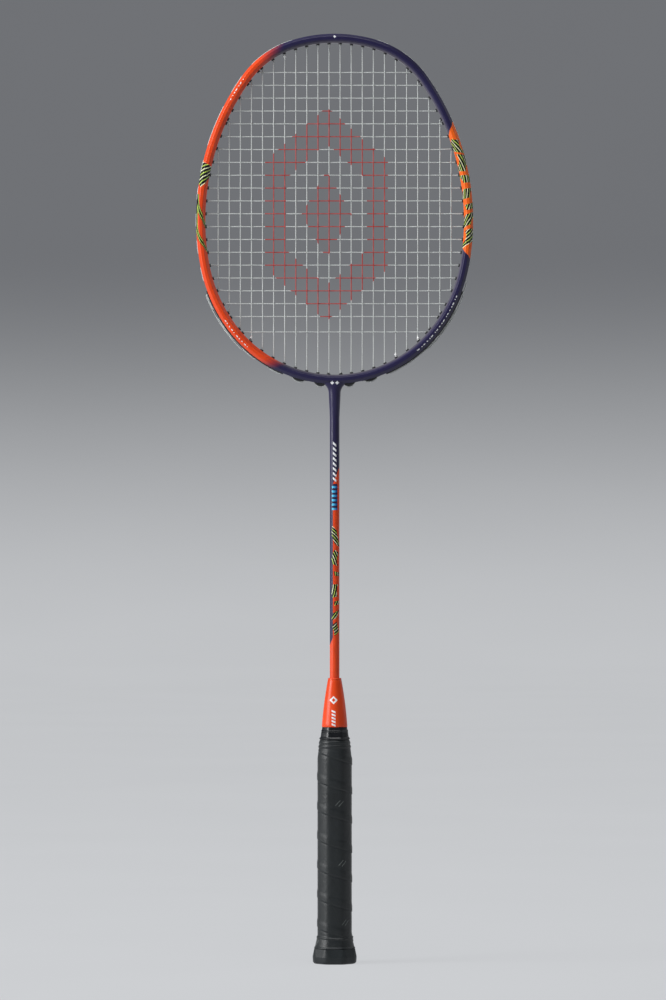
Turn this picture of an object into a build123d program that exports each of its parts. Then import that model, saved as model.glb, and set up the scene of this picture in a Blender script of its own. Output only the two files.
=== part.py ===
"""A strung badminton racket as an assembly of separate pieces.

The origin is the centre of the butt's end face. +Z runs up the shaft to the tip of the head, the string bed
lies in the XZ plane, and the front of the racket looks along -Y. Sizes are in millimetres, angles in degrees.
"""

import os
from math import acos, asin, ceil, cos, degrees, radians, sin, sqrt, tan
from typing import NamedTuple

from build123d import *

# ---------------------------------------------------------------- driving dimensions
RACKET_LENGTH = 675.0

# Head: tangent arcs from the tip down one side, each turning from one angle to the next, measured from the tip.
HEAD_ANGLES = (0.0, 17.3, 54.8, 100.3, 126.0, 180.0)
HEAD_RADII = (102.2, 65.9, 178.2, 110.3)  # the last arc's radius closes the outline on the centre line
FRAME_WIDTH = 6.6  # across the tube, in the plane of the strings
FRAME_DEPTH = 10.0  # through the tube, from front to back
FRAME_WALL = 0.9
FRONT_FLAT_INNER = 1.1  # where the front face ends towards the strings, from the tube's centre
FRONT_FLAT_OUTER = 1.3
INNER_FLAT = 2.1  # half the flat that faces the strings
RIM_OUTER = 2.6  # half the tube's outer rim, groove included
FRAME_ROUNDING = 0.7
CUT_PAST = 2.0  # how far a cut runs on past the surface that it opens
GROOVE_HALF_WIDTH = 1.55
GROOVE_DEPTH = 1.3
GROOVE_END = 6.8  # the groove stops this far from the centre line, beside the throat
GROOVE_CLEARANCE = 0.1  # between the groove's end and the last strip

# Strings
STRING_DIAMETER = 0.68
STRING_GAP = 0.04  # between two strings that lie side by side
MAIN_COUNT = 22
MAIN_PITCH = 8.05
CROSS_COUNT = 21
CROSS_PITCH = 9.33
TOP_CROSS_DROP = 28.0  # the first cross below the tip
LAST_CROSS_PITCH = 11.2
MOUTH_BEND = 0.9  # radius of a string's bend at a grommet's mouth
RUN_BEND = 15.0  # radius of its bends along the groove
RUN_STEP = 6.0  # longest straight of a run along the groove
LEAD = 10.0  # how far from its hole a string leaves its own line
OFF_SURFACE = 0.1  # a string's clearance over the plastic that it runs on
MAIN_TIE = ("bottom", 8)  # the end of a main by which the main string ends, on both sides
CROSS_START = ("top", 5)  # the end of a main on the left by which the cross string starts
CROSS_END = ("bottom", 6)  # the end of a main on the right by which it ends
KNOT_RADIUS = 0.95
KNOT_LENGTH = 1.6
KNOT_LIFT = 0.6  # from the hole's mouth to the knot
KNOT_ROUNDING = 0.6
KNOT_CLEARANCE = 0.06

# Grommets
BARREL_RADIUS = 1.25
BORE_RADIUS = 0.9
TIE_BORE_RADIUS = 1.2
BARREL_SINK = 0.15  # a barrel ends this far under its strip's outer surface
HOLE_CLEARANCE = 0.05
BARREL_TIP = 1.0  # how far a barrel stands out towards the strings
MOUTH_LIFT = 0.3  # where a string bends, past the barrel's tip
STRIP_HALF_WIDTH = 1.45
STRIP_ROUNDING = 0.2
STRIP_END = 2.2  # a strip's length past its last hole
STRIP_GAP = 0.4  # least gap between two strips
TIP_STRIP = 0.5
SIDE_STRIP = 0.9
CORNER_STRIP = 2.1
THROAT_PAD = 2.6
SHARED_HOLE_SPACING = 3.0  # a main and a cross nearer than this share one hole
THROAT_EXIT = 8.8  # the innermost mains' holes lean out to this distance from the centre line
# From the tip down: each strip's name, the string whose hole is its last, and how thick it is.
STRIPS = (
    ("tip", ("top", 4), TIP_STRIP),
    ("upper", ("cross", 3), SIDE_STRIP),
    ("side", ("cross", 17), SIDE_STRIP),
    ("corner", ("bottom", 5), CORNER_STRIP),
    ("throat_outer", ("bottom", 3), THROAT_PAD),
    ("throat_inner", ("bottom", 1), THROAT_PAD),
)

# Throat and T joint
THROAT_LENGTH = 23.6  # the sleeve below the head's outer edge
THROAT_FILLET = 9.0
THROAT_FILLET_START = 16.3  # above the sleeve's lower end
THROAT_WIDTH = 8.6  # the sleeve where the fillet starts
THROAT_TOP_DEPTH = 9.0
FLARE_SECTIONS = 5
THROAT_LIP = 0.3
SHAFT_SEAT_DEPTH = 15.0
JOINT_ARM_REACH = 17.0
JOINT_STEM_LENGTH = 34.0
JOINT_CLEARANCE = 0.05

# Shaft, cone and handle
SHAFT_DIAMETER = 7.0
SHAFT_WALL = 0.9
SHAFT_END = 62.0  # the shaft's lower end, inside the handle
FIT_CLEARANCE = 0.05
CONE_TOP = 207.2
CONE_BOTTOM = 171.6
CONE_TOP_WIDTH = 9.8
CONE_BOTTOM_WIDTH = 18.7
CONE_BOTTOM_DEPTH = 17.5
CONE_BULGE = 0.55  # how far the cone's side bows out of straight
CONE_SECTIONS = 6
SPIGOT_RADIUS = 6.2
SPIGOT_LENGTH = 14.0
SPIGOT_END_GAP = 0.3
CONE_BORE_TAPER = 10.0
HANDLE_TOP_WIDTH = 16.8
HANDLE_TOP_DEPTH = 15.6
HANDLE_TOP_BEVEL = 4.4
HANDLE_WIDTH = 22.6
HANDLE_DEPTH = 20.0
HANDLE_BEVEL = 6.0
HANDLE_ROUNDING = 1.2
HANDLE_TAPER_START = 149.0
HANDLE_NECK = 20.5  # where the handle starts to flare over the butt cap
HANDLE_FOOT = 10.8  # the lower end of the grip
HANDLE_FOOT_WIDTH = 27.0
HANDLE_FOOT_DEPTH = 24.4
HANDLE_FOOT_BEVEL = 7.4
GRIP_THICKNESS = 1.3
GRIP_TOP = 163.0
TAPE_THICKNESS = 0.9
TAPE_GAP = 0.1

# Butt cap
CAP_WIDTH = 32.0
CAP_DEPTH = 29.0
CAP_BEVEL = 9.0
CAP_ROUNDING = 8.0
CAP_WIDEST = 5.0
CAP_END_INSET = 0.3
CAP_EDGE_ROUNDING = 2.2
CAP_TOP = 27.0
CAP_FLOOR = 3.4
CAP_SLEEVE_WALL = 1.2
BADGE_RADIUS = 10.0
BADGE_THICKNESS = 0.5
BADGE_RECESS = 0.6
BADGE_CLEARANCE = 0.1
STAPLE_WIRE = 0.9
STAPLE_CROWN = 8.0
STAPLE_LEG = 5.0
STAPLE_HEIGHT = 23.5
STAPLE_SINK = 0.1

# ---------------------------------------------------------------- sizes that follow
half_width = FRAME_WIDTH / 2
half_depth = FRAME_DEPTH / 2
groove_floor = half_width - GROOVE_DEPTH
string_radius = STRING_DIAMETER / 2
string_spacing = STRING_DIAMETER + STRING_GAP
layer = string_spacing / 2  # mains lie this far behind the middle plane, crosses this far before it
tip_offset = -(half_width + BARREL_TIP)
mouth_offset = tip_offset - MOUTH_LIFT
mains_per_side = MAIN_COUNT // 2
shaft_radius = SHAFT_DIAMETER / 2
shaft_bore = shaft_radius - SHAFT_WALL
shaft_seat = shaft_radius + FIT_CLEARANCE


# ---------------------------------------------------------------- the head's outline
def closing_radius():
    """The bottom arc's radius, which brings the head's outline back to the centre line."""
    turns = [sin(radians(a)) for a in HEAD_ANGLES]
    reach = sum(r * (turns[i + 1] - turns[i]) for i, r in enumerate(HEAD_RADII))
    return -reach / (turns[-1] - turns[-2])


def head_arcs():
    """(centre x, centre z, radius, first and last angle) of each arc of the head's centre line, right side."""
    arcs = []
    x, z = 0.0, RACKET_LENGTH - half_width
    for radius, first, last in zip((*HEAD_RADII, closing_radius()), HEAD_ANGLES, HEAD_ANGLES[1:]):
        centre_x = x - radius * sin(radians(first))
        centre_z = z - radius * cos(radians(first))
        arcs.append((centre_x, centre_z, radius, first, last))
        x = centre_x + radius * sin(radians(last))
        z = centre_z + radius * cos(radians(last))
    return arcs


ARCS = head_arcs()
head_bottom = ARCS[-1][1] - ARCS[-1][2]  # the centre line's lowest point
throat_bottom = head_bottom - half_width - THROAT_LENGTH
shaft_top = throat_bottom + SHAFT_SEAT_DEPTH


def arc_at(angle):
    return next(a for a in ARCS if a[3] <= angle <= a[4])


def head_point(angle, offset=0.0, side=1, along=0.0):
    """(x, z) on the head at an angle from the tip, offset outwards from the tube's centre line and then moved
    along the tangent, away from the tip."""
    centre_x, centre_z, radius, _, _ = arc_at(angle)
    a = radians(angle)
    x = centre_x + (radius + offset) * sin(a) + along * cos(a)
    return side * x, centre_z + (radius + offset) * cos(a) - along * sin(a)


def angle_at_x(x, offset, upper):
    """Where the outline at that offset is x from the centre line, on the head's upper or lower part."""
    for centre_x, _, radius, first, last in ARCS:
        share = (x - centre_x) / (radius + offset)
        if abs(share) <= 1:
            turn = degrees(asin(share))
            for angle in (turn, 180 - turn):
                if first <= angle <= last and (angle < 90) == upper:
                    return angle
    raise ValueError(f"no point of the head is {x} mm from the centre line")


def angle_at_z(z, offset):
    """Where the outline at that offset is at height z."""
    for _, centre_z, radius, first, last in ARCS:
        share = (z - centre_z) / (radius + offset)
        if abs(share) <= 1 and first <= degrees(acos(share)) <= last:
            return degrees(acos(share))
    raise ValueError(f"no point of the head is at height {z} mm")


def distance_along(angle):
    """The length of the head's centre line from the tip to that angle."""
    return sum(r * radians(min(angle, last) - first) for _, _, r, first, last in ARCS if angle > first)


def angle_along(angle, distance):
    """The angle that lies a distance further along the head's centre line."""
    return angle + degrees(distance / arc_at(angle)[2])


def head_path(first, last):
    """The head's centre line between two angles, as a wire of arcs."""
    edges = []
    for _, _, _, start, end in ARCS:
        low, high = max(first, start), min(last, end)
        if high - low > 1e-6:
            points = [head_point(a) for a in (low, (low + high) / 2, high)]
            edges.append(ThreePointArc(*[(x, 0, z) for x, z in points]).edge())
    return Wire(edges)


def head_plane(angle):
    """The plane across the tube at that angle: local x points outwards."""
    x, z = head_point(angle)
    a = radians(angle)
    return Plane(origin=(x, 0, z), x_dir=(sin(a), 0, cos(a)), z_dir=(cos(a), 0, -sin(a)))


def carried(section, first, last):
    """A section across the tube carried along the head between two angles, on the right side."""
    return sweep(head_plane(first) * section, path=head_path(first, last))


def both_sides(shape):
    return shape + mirror(shape, about=Plane.YZ)


def box_section(inner, outer, half):
    """A rectangle across the tube between two offsets from its centre."""
    return Pos((inner + outer) / 2, 0) * Rectangle(outer - inner, 2 * half)


# ---------------------------------------------------------------- string holes
class Hole(NamedTuple):
    """A string hole: where it opens towards the strings and to the outside, its bore and its strip."""

    inner: float
    outer: float
    bore: float
    strip: int


def main_x(number):
    """A main's distance from the centre line; number 1 is the innermost."""
    return MAIN_PITCH * (number - 0.5)


def cross_z(number):
    """A cross's height; number 1 is the uppermost."""
    last_step = LAST_CROSS_PITCH - CROSS_PITCH if number == CROSS_COUNT else 0.0
    return RACKET_LENGTH - TOP_CROSS_DROP - CROSS_PITCH * (number - 1) - last_step


def string_ends():
    """Every string's end on one side as (angle, name), from the tip down."""
    ends = []
    for number in range(1, mains_per_side + 1):
        ends.append((angle_at_x(main_x(number), mouth_offset, True), ("top", number)))
        ends.append((angle_at_x(main_x(number), mouth_offset, False), ("bottom", number)))
    for number in range(1, CROSS_COUNT + 1):
        ends.append((angle_at_z(cross_z(number), mouth_offset), ("cross", number)))
    return sorted(ends)


def shared_ends():
    """(angle, names) of each hole from the tip down. A main and a cross that nearly meet share one hole."""
    groups = []
    for angle, name in string_ends():
        if groups:
            last_angle, names = groups[-1]
            near = distance_along(angle) - distance_along(last_angle) < SHARED_HOLE_SPACING
            if near and len(names) == 1 and (name[0] == "cross") != (names[0][0] == "cross"):
                groups[-1] = ((last_angle + angle) / 2, [*names, name])
                continue
        groups.append((angle, [name]))
    return groups


def string_holes():
    """The hole that each string's end uses. Every hole is square to the tube, apart from the two beside the
    throat, and the main string's tie-off holes are wider."""
    holes = {}
    strip = 0
    for angle, names in shared_ends():
        outer = angle_at_x(THROAT_EXIT, groove_floor, False) if ("bottom", 1) in names else angle
        bore = TIE_BORE_RADIUS if MAIN_TIE in names else BORE_RADIUS
        holes.update({name: Hole(angle, outer, bore, strip) for name in names})
        if STRIPS[strip][1] in names:
            strip += 1
    return holes


HOLES = string_holes()
ALL_HOLES = sorted(set(HOLES.values()))


def upright(radius, bottom, top):
    """A cylinder on the Z axis between two heights."""
    blank = Cylinder(radius, top - bottom, align=(Align.CENTER, Align.CENTER, Align.MIN))
    return Pos(0, 0, bottom) * blank


def rod(start, end, radius, extra=0.0):
    """A round rod in the plane of the strings between two (x, z) points, lengthened at both ends by extra."""
    direction = Vector(end[0] - start[0], 0, end[1] - start[1])
    origin = Vector(start[0], 0, start[1]) - direction.normalized() * extra
    blank = Cylinder(radius, direction.length + 2 * extra, align=(Align.CENTER, Align.CENTER, Align.MIN))
    return Plane(origin=origin, z_dir=direction) * blank


def strip_surface(strip):
    """The outer surface of a strip, from the tube's centre."""
    return groove_floor + STRIPS[strip][2]


def hole_rod(hole, radius, extra=0.0):
    """A rod through a hole, from the barrel's tip to the strip's outer surface."""
    start = head_point(hole.inner, tip_offset)
    end = head_point(hole.outer, strip_surface(hole.strip) - BARREL_SINK)
    return rod(start, end, radius, extra)


def barrel_radius(hole):
    return hole.bore + BARREL_RADIUS - BORE_RADIUS


# ---------------------------------------------------------------- head frame
def frame_outline():
    """The tube's outside, across it, before the groove is cut."""
    back = [(-half_width, INNER_FLAT), (-FRONT_FLAT_INNER, half_depth), (FRONT_FLAT_OUTER, half_depth)]
    back.append((half_width, RIM_OUTER))
    return make_face(Polyline(*back, *[(u, -v) for u, v in reversed(back)], close=True).edges())


def cavity_outline():
    """The tube's inside: a wall thinner all round, and a wall under the groove's floor."""
    inside = offset(frame_outline(), -FRAME_WALL, kind=Kind.INTERSECTION)
    return inside & box_section(-half_width, groove_floor - FRAME_WALL, half_depth)


def flare_half_width(rise):
    """The sleeve's half width at a rise above the start of its fillet."""
    return THROAT_WIDTH / 2 + THROAT_FILLET - sqrt(max(0.0, THROAT_FILLET**2 - rise**2))


def throat_sleeve():
    """The round sleeve that holds the shaft, flaring sideways into the tube."""
    up = (Align.CENTER, Align.CENTER, Align.MIN)
    low_radius, high_radius = shaft_seat + THROAT_LIP, THROAT_WIDTH / 2
    stem = Pos(0, 0, throat_bottom) * Cone(low_radius, high_radius, THROAT_FILLET_START, align=up)
    flare_height = THROAT_LENGTH + GROOVE_DEPTH - THROAT_FILLET_START
    sections = []
    for i in range(FLARE_SECTIONS):
        share = i / (FLARE_SECTIONS - 1)
        depth = high_radius + (THROAT_TOP_DEPTH / 2 - high_radius) * share
        plane = Plane.XY.offset(throat_bottom + THROAT_FILLET_START + flare_height * share)
        sections.append(plane * Ellipse(flare_half_width(flare_height * share), depth))
    return stem + loft(sections)


def shaft_socket():
    """The room inside the sleeve: the shaft's seat, and above it the way through for the joint's stem."""
    seat = upright(shaft_seat, throat_bottom - CUT_PAST, shaft_top)
    return seat + upright(shaft_bore, throat_bottom, head_bottom)


def tube_holes():
    """The drilled holes on both sides."""
    right = [hole_rod(h, barrel_radius(h) + HOLE_CLEARANCE, CUT_PAST) for h in ALL_HOLES]
    return right + [mirror(hole, about=Plane.YZ) for hole in right]


def head_frame():
    """The hollow tube of the head with its groove, string holes and throat, moulded in one."""
    tube = both_sides(carried(fillet(frame_outline().vertices(), FRAME_ROUNDING), 0, 180))
    groove_end = angle_at_x(GROOVE_END, groove_floor, False)
    channel = box_section(groove_floor, half_width + THROAT_FILLET, GROOVE_HALF_WIDTH)
    groove = both_sides(carried(channel, 0, groove_end))
    cavity = both_sides(carried(cavity_outline(), 0, 180))
    return (tube + throat_sleeve()) - groove - cavity - shaft_socket() - tube_holes()


def t_joint():
    """The insert that ties shaft and head together: an arm in the tube, and a stem down the shaft's bore."""
    reach = angle_at_x(JOINT_ARM_REACH, 0, False)
    section = offset(cavity_outline(), -JOINT_CLEARANCE, kind=Kind.INTERSECTION)
    arm = both_sides(carried(section, reach, 180))
    stem = upright(shaft_bore - JOINT_CLEARANCE, head_bottom - JOINT_STEM_LENGTH, head_bottom)
    return arm + stem - tube_holes()


# ---------------------------------------------------------------- grommet strips
def strip_holes(strip):
    return [h for h in ALL_HOLES if h.strip == strip]


def strip_end(hole, neighbour):
    """How far a strip goes past its last hole, towards a neighbouring strip's hole."""
    if neighbour is None:
        return STRIP_END
    gap = abs(distance_along(neighbour.outer) - distance_along(hole.outer))
    return min(STRIP_END, (gap - STRIP_GAP) / 2)


def grommet_strip(strip):
    """A strip in the groove with a barrel through the tube at each hole, on the right side."""
    holes = strip_holes(strip)
    before = ALL_HOLES.index(holes[0]) - 1
    after = ALL_HOLES.index(holes[-1]) + 1
    ahead = ALL_HOLES[before] if before >= 0 else None
    behind = ALL_HOLES[after] if after < len(ALL_HOLES) else None
    first = angle_along(holes[0].outer, -strip_end(holes[0], ahead)) if ahead else 0.0
    last = angle_along(holes[-1].outer, strip_end(holes[-1], behind))
    if behind is None:
        last = min(last, angle_at_x(GROOVE_END + GROOVE_CLEARANCE, groove_floor, False))
    section = box_section(groove_floor, strip_surface(strip), STRIP_HALF_WIDTH)
    outer_corners = section.vertices().group_by(Axis.X)[-1]
    strap = carried(fillet(outer_corners, STRIP_ROUNDING), first, last)
    barrels = [hole_rod(h, barrel_radius(h)) for h in holes]
    bores = [hole_rod(h, h.bore, CUT_PAST) for h in holes]
    return strap + barrels - bores


# ---------------------------------------------------------------- strings
def meet(first, second):
    """Where the tangents at two stations meet; a station is (x, z, direction x, direction z)."""
    x1, z1, u1, w1 = first
    x2, z2, u2, w2 = second
    share = ((x2 - x1) * w2 - (z2 - z1) * u2) / (u1 * w2 - w1 * u2)
    return x1 + share * u1, z1 + share * w1


def groove_run(first, last, offset, side=1):
    """Points of a string that follows the groove between two angles and never dips below its offset."""
    distance = distance_along(max(first, last)) - distance_along(min(first, last))
    steps = ceil(distance / RUN_STEP)
    stations = []
    for i in range(steps + 1):
        angle = first + (last - first) * i / steps
        x, z = head_point(angle, offset, side)
        stations.append((x, z, side * cos(radians(angle)), -sin(radians(angle))))
    return [(*meet(a, b), RUN_BEND) for a, b in zip(stations, stations[1:])]


def run_offset(*holes):
    """How far out a string lies that runs over the strips of these holes."""
    return max(strip_surface(h.strip) for h in holes) + OFF_SURFACE + string_radius


def outside_loop(start, end, side=1, raised=0.0, end_shift=0.0):
    """A string's way out of one hole, along the groove and back into another hole on the same side. raised
    lifts it over a string that already lies there; end_shift moves it sideways in its second hole."""
    out = run_offset(start, end) + raised
    points = [(*head_point(start.inner, mouth_offset, side), MOUTH_BEND)]
    points.append((*head_point(start.outer, out, side), MOUTH_BEND))
    points += groove_run(start.outer, end.outer, out, side)
    points.append((*head_point(end.outer, out, side, end_shift), MOUTH_BEND))
    points.append((*head_point(end.inner, mouth_offset, side, end_shift), MOUTH_BEND))
    return points


def tip_loop(hole):
    """The innermost main's way over the tip from the left side to the right."""
    out = run_offset(hole)
    left = [(*head_point(hole.inner, mouth_offset, -1), MOUTH_BEND)]
    left.append((*head_point(hole.outer, out, -1), MOUTH_BEND))
    left += groove_run(hole.outer, 0, out, -1)
    return left + mirrored(left)


def mirrored(points):
    """The same way on the other side, walked back."""
    return [(-x, z, bend) for x, z, bend in reversed(points)]


def led(points, line_x=None, line_z=None):
    """Adds the points where a string comes off its own line at both ends of a loop. line_x gives a main's two
    lines, line_z a cross's two heights."""
    first, last = points[0], points[-1]
    if line_x:
        down = -1 if first[1] > cross_z(CROSS_COUNT // 2) else 1
        start = (line_x[0], first[1] + down * LEAD, RUN_BEND)
        end = (line_x[1], last[1] + down * LEAD, RUN_BEND)
    else:
        inwards = -1 if first[0] > 0 else 1
        start = (first[0] + inwards * LEAD, line_z[0], RUN_BEND)
        end = (last[0] + inwards * LEAD, line_z[1], RUN_BEND)
    return [start, *points, end]


def main_route():
    """The main string from its knot on the left to the one on the right. From the outermost main inwards it
    loops over the head's top and bottom in turn."""
    side = -1
    tie, outermost = HOLES[MAIN_TIE], HOLES["bottom", mains_per_side]
    tie_run = outside_loop(outermost, tie, side, string_spacing, -layer)
    mouth = tie_run[-1]
    knot_z = mouth[1] + KNOT_LIFT + KNOT_LENGTH / 2
    knot_x = side * (main_x(MAIN_TIE[1]) + string_spacing)
    points = [(knot_x, knot_z, 0.0), (knot_x, mouth[1] + KNOT_LIFT / 2, MOUTH_BEND), *reversed(tie_run)]
    lead_z = head_point(outermost.inner, mouth_offset)[1] + LEAD
    points.append((side * main_x(mains_per_side), lead_z, RUN_BEND))
    for number in range(mains_per_side, 1, -1):
        end = "top" if (mains_per_side - number) % 2 == 0 else "bottom"
        loop = outside_loop(HOLES[end, number], HOLES[end, number - 1], side)
        if (end, number) == MAIN_TIE:
            loop = shifted_start(loop, HOLES[end, number], side)
        points += led(loop, line_x=(side * main_x(number), side * main_x(number - 1)))
    over_tip = tip_loop(HOLES["top", 1])
    points.append((-main_x(1), over_tip[0][1] - LEAD, RUN_BEND))
    points += over_tip[: len(over_tip) // 2]
    return points + mirrored(points)


def shifted_start(loop, hole, side):
    """A loop whose first hole also holds a string's end, so it keeps to its own half of that hole."""
    out = run_offset(hole)
    start = (*head_point(hole.inner, mouth_offset, side, layer), MOUTH_BEND)
    return [start, (*head_point(hole.outer, out, side, layer), MOUTH_BEND), *loop[2:]]


def cross_route():
    """The cross string from its knot at the top left to the one at the bottom right. It crosses to the right,
    steps down outside, and comes back, until the last cross."""
    start, first = HOLES[CROSS_START], HOLES["cross", 1]
    tie_run = outside_loop(start, first, -1)
    x, z, _ = tie_run[0]
    points = [(x, z - KNOT_LIFT - KNOT_LENGTH / 2, 0.0), *tie_run]
    points.append((tie_run[-1][0] + LEAD, cross_z(1), RUN_BEND))
    for number in range(1, CROSS_COUNT):
        side = 1 if number % 2 else -1
        loop = outside_loop(HOLES["cross", number], HOLES["cross", number + 1], side)
        points += led(loop, line_z=(cross_z(number), cross_z(number + 1)))
    last, end = HOLES["cross", CROSS_COUNT], HOLES[CROSS_END]
    tie_run = outside_loop(last, end, 1)
    points.append((tie_run[0][0] - LEAD, cross_z(CROSS_COUNT), RUN_BEND))
    x, z, _ = tie_run[-1]
    return points + [*tie_run, (x, z + KNOT_LIFT + KNOT_LENGTH / 2, 0.0)]


def corner_arc(before, corner, after, bend):
    """The start, middle and end of the arc that rounds a corner, or None for a corner that is straight."""
    into = Vector(corner[0] - before[0], corner[1] - before[1])
    out = Vector(after[0] - corner[0], after[1] - corner[1])
    turn = radians(into.get_angle(out))
    if turn < 1e-4:
        return None
    reach = min(bend * tan(turn / 2), into.length / 2, out.length / 2)
    radius = reach / tan(turn / 2)
    into, out = into.normalized(), out.normalized()
    inwards = (out - into).normalized()
    vertex = Vector(corner[0], corner[1])
    middle = vertex + inwards * (radius / cos(turn / 2) - radius)
    return vertex - into * reach, middle, vertex + out * reach


def rounded_wire(route, y):
    """A wire through a route's (x, z, bend radius) points with every corner rounded, in the plane at y."""
    place = lambda p: (p.X, y, p.Y)
    edges = []
    last = Vector(route[0][0], route[0][1])
    for before, corner, after in zip(route, route[1:], route[2:]):
        arc = corner_arc(before, corner, after, corner[2])
        if arc is None:
            continue
        if (arc[0] - last).length > 1e-5:
            edges.append(Edge.make_line(place(last), place(arc[0])))
        edges.append(Edge.make_three_point_arc(*[place(p) for p in arc]))
        last = arc[2]
    edges.append(Edge.make_line(place(last), (route[-1][0], y, route[-1][1])))
    return Wire(edges)


def string_along(route, y):
    wire = rounded_wire(route, y)
    start = Plane(origin=wire @ 0, z_dir=wire % 0)
    return sweep(start * Circle(string_radius), path=wire)


def knot(x, y, z):
    """A knot's body, as a short round plug along z about its centre."""
    plug = Cylinder(KNOT_RADIUS, KNOT_LENGTH)
    return Pos(x, y, z) * fillet(plug.edges().filter_by(GeomType.CIRCLE), KNOT_ROUNDING)


def main_string():
    """All the mains, their outside loops and both end knots, as one length of string."""
    route = main_route()
    x, z, _ = route[-1]
    return string_along(route, layer) + both_sides(knot(layer - x, layer, z))


def cross_string():
    """All the crosses, their outside loops and both end knots, which are tied round mains that pass free."""
    route = cross_route()
    string = string_along(route, -layer)
    for x, z, _ in (route[0], route[-1]):
        room = Pos(x, layer, z) * Cylinder(string_radius + KNOT_CLEARANCE, 3 * KNOT_LENGTH)
        string = string + (knot(x, 0, z) - room)
    return string


# ---------------------------------------------------------------- shaft and cone
def shaft():
    """The carbon tube from inside the handle to its seat in the throat."""
    wall = Plane.XY.offset(SHAFT_END) * (Circle(shaft_radius) - Circle(shaft_bore))
    return extrude(wall, shaft_top - SHAFT_END)


def cone():
    """The hollow cap that leads from the handle to the shaft."""
    sections = []
    for i in range(CONE_SECTIONS):
        share = i / (CONE_SECTIONS - 1)
        bow = 4 * CONE_BULGE * share * (1 - share)
        width = CONE_BOTTOM_WIDTH / 2 + (CONE_TOP_WIDTH - CONE_BOTTOM_WIDTH) / 2 * share + bow
        depth = CONE_BOTTOM_DEPTH / 2 + (CONE_TOP_WIDTH - CONE_BOTTOM_DEPTH) / 2 * share + bow
        plane = Plane.XY.offset(CONE_BOTTOM + (CONE_TOP - CONE_BOTTOM) * share)
        sections.append(plane * Ellipse(width, depth))
    room = SPIGOT_RADIUS + FIT_CLEARANCE
    room_top = CONE_BOTTOM + SPIGOT_LENGTH + SPIGOT_END_GAP
    neck = room_top + CONE_BORE_TAPER
    bottom, top = CONE_BOTTOM - CUT_PAST, CONE_TOP + CUT_PAST
    outline = [(0, bottom), (room, bottom), (room, room_top), (shaft_seat, neck), (shaft_seat, top), (0, top)]
    inside = revolve(Plane.XZ * make_face(Polyline(*outline, close=True).edges()), Axis.Z)
    return loft(sections) - inside


# ---------------------------------------------------------------- handle
# The bare handle's outside from the foot up: height, width, depth, corner bevel.
HANDLE_STATIONS = (
    (HANDLE_FOOT, HANDLE_FOOT_WIDTH, HANDLE_FOOT_DEPTH, HANDLE_FOOT_BEVEL),
    (HANDLE_NECK, HANDLE_WIDTH, HANDLE_DEPTH, HANDLE_BEVEL),
    (HANDLE_TAPER_START, HANDLE_WIDTH, HANDLE_DEPTH, HANDLE_BEVEL),
    (CONE_BOTTOM, HANDLE_TOP_WIDTH, HANDLE_TOP_DEPTH, HANDLE_TOP_BEVEL),
)


def octagon(height, width, depth, bevel, rounding, growth=0.0):
    """A rectangle with bevelled and rounded corners at a height, every side moved out by growth."""
    outline = Rectangle(width + 2 * growth, depth + 2 * growth)
    outline = chamfer(outline.vertices(), bevel + growth * (2 - sqrt(2)))
    outline = fillet(outline.vertices(), rounding + growth)
    return Plane.XY.offset(height) * outline


def handle_section(height, growth):
    """The handle's section at a height, between the two stations that hold it."""
    for low, high in zip(HANDLE_STATIONS, HANDLE_STATIONS[1:]):
        if low[0] <= height <= high[0]:
            share = (height - low[0]) / (high[0] - low[0])
            width, depth, bevel = [a + (b - a) * share for a, b in zip(low[1:], high[1:])]
            return octagon(height, width, depth, bevel, HANDLE_ROUNDING, growth)
    raise ValueError(f"the handle has no section at {height} mm")


def handle_body(bottom, top, growth=0.0):
    """The handle between two heights, with its surface moved out by growth."""
    between = [s[0] for s in HANDLE_STATIONS if bottom < s[0] < top]
    return loft([handle_section(h, growth) for h in (bottom, *between, top)], ruled=True)


def core_end():
    """The core's rebated lower end, which the butt cap's sleeve fits round."""
    rounding = HANDLE_ROUNDING + CAP_SLEEVE_WALL
    section = octagon(CAP_FLOOR, HANDLE_WIDTH, HANDLE_DEPTH, HANDLE_BEVEL, rounding, -CAP_SLEEVE_WALL)
    return extrude(section, CAP_TOP - CAP_FLOOR)


def staple_part(inner, outer, half_length, middle, clearance):
    """A bar of staple wire from inner to outer along x, half_length either way from middle along y."""
    wire = STAPLE_WIRE + 2 * clearance
    return Pos((inner + outer) / 2, middle, STAPLE_HEIGHT) * Box(outer - inner, 2 * half_length, wire)


def staples(clearance=0.0):
    """Two wire staples, one on each side, that pin the butt cap's sleeve to the core. With a clearance, the
    room they need instead, open to the sleeve's outside."""
    face = HANDLE_WIDTH / 2 - STAPLE_SINK
    outer = face + 2 * STAPLE_SINK if clearance else face
    leg_middle = (STAPLE_CROWN - STAPLE_WIRE) / 2
    half_wire = STAPLE_WIRE / 2 + clearance
    right = staple_part(face - STAPLE_WIRE - clearance, outer, STAPLE_CROWN / 2 + clearance, 0, clearance)
    for middle in (-leg_middle, leg_middle):
        right = right + staple_part(face - STAPLE_LEG - clearance, outer, half_wire, middle, clearance)
    return [right, mirror(right, about=Plane.YZ)]


def handle_core():
    """The wooden core: an octagonal bar with a spigot at its top, bored for the shaft."""
    spigot = upright(SPIGOT_RADIUS, CONE_BOTTOM, CONE_BOTTOM + SPIGOT_LENGTH)
    bore = upright(shaft_seat, SHAFT_END, CONE_TOP)
    return handle_body(CAP_TOP, CONE_BOTTOM) + core_end() + spigot - bore - staples(FIT_CLEARANCE)


def base_grip():
    """The wrap from the butt cap's shoulder to the finishing tape."""
    return handle_body(HANDLE_FOOT, GRIP_TOP, GRIP_THICKNESS) - handle_body(HANDLE_FOOT, GRIP_TOP)


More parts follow.
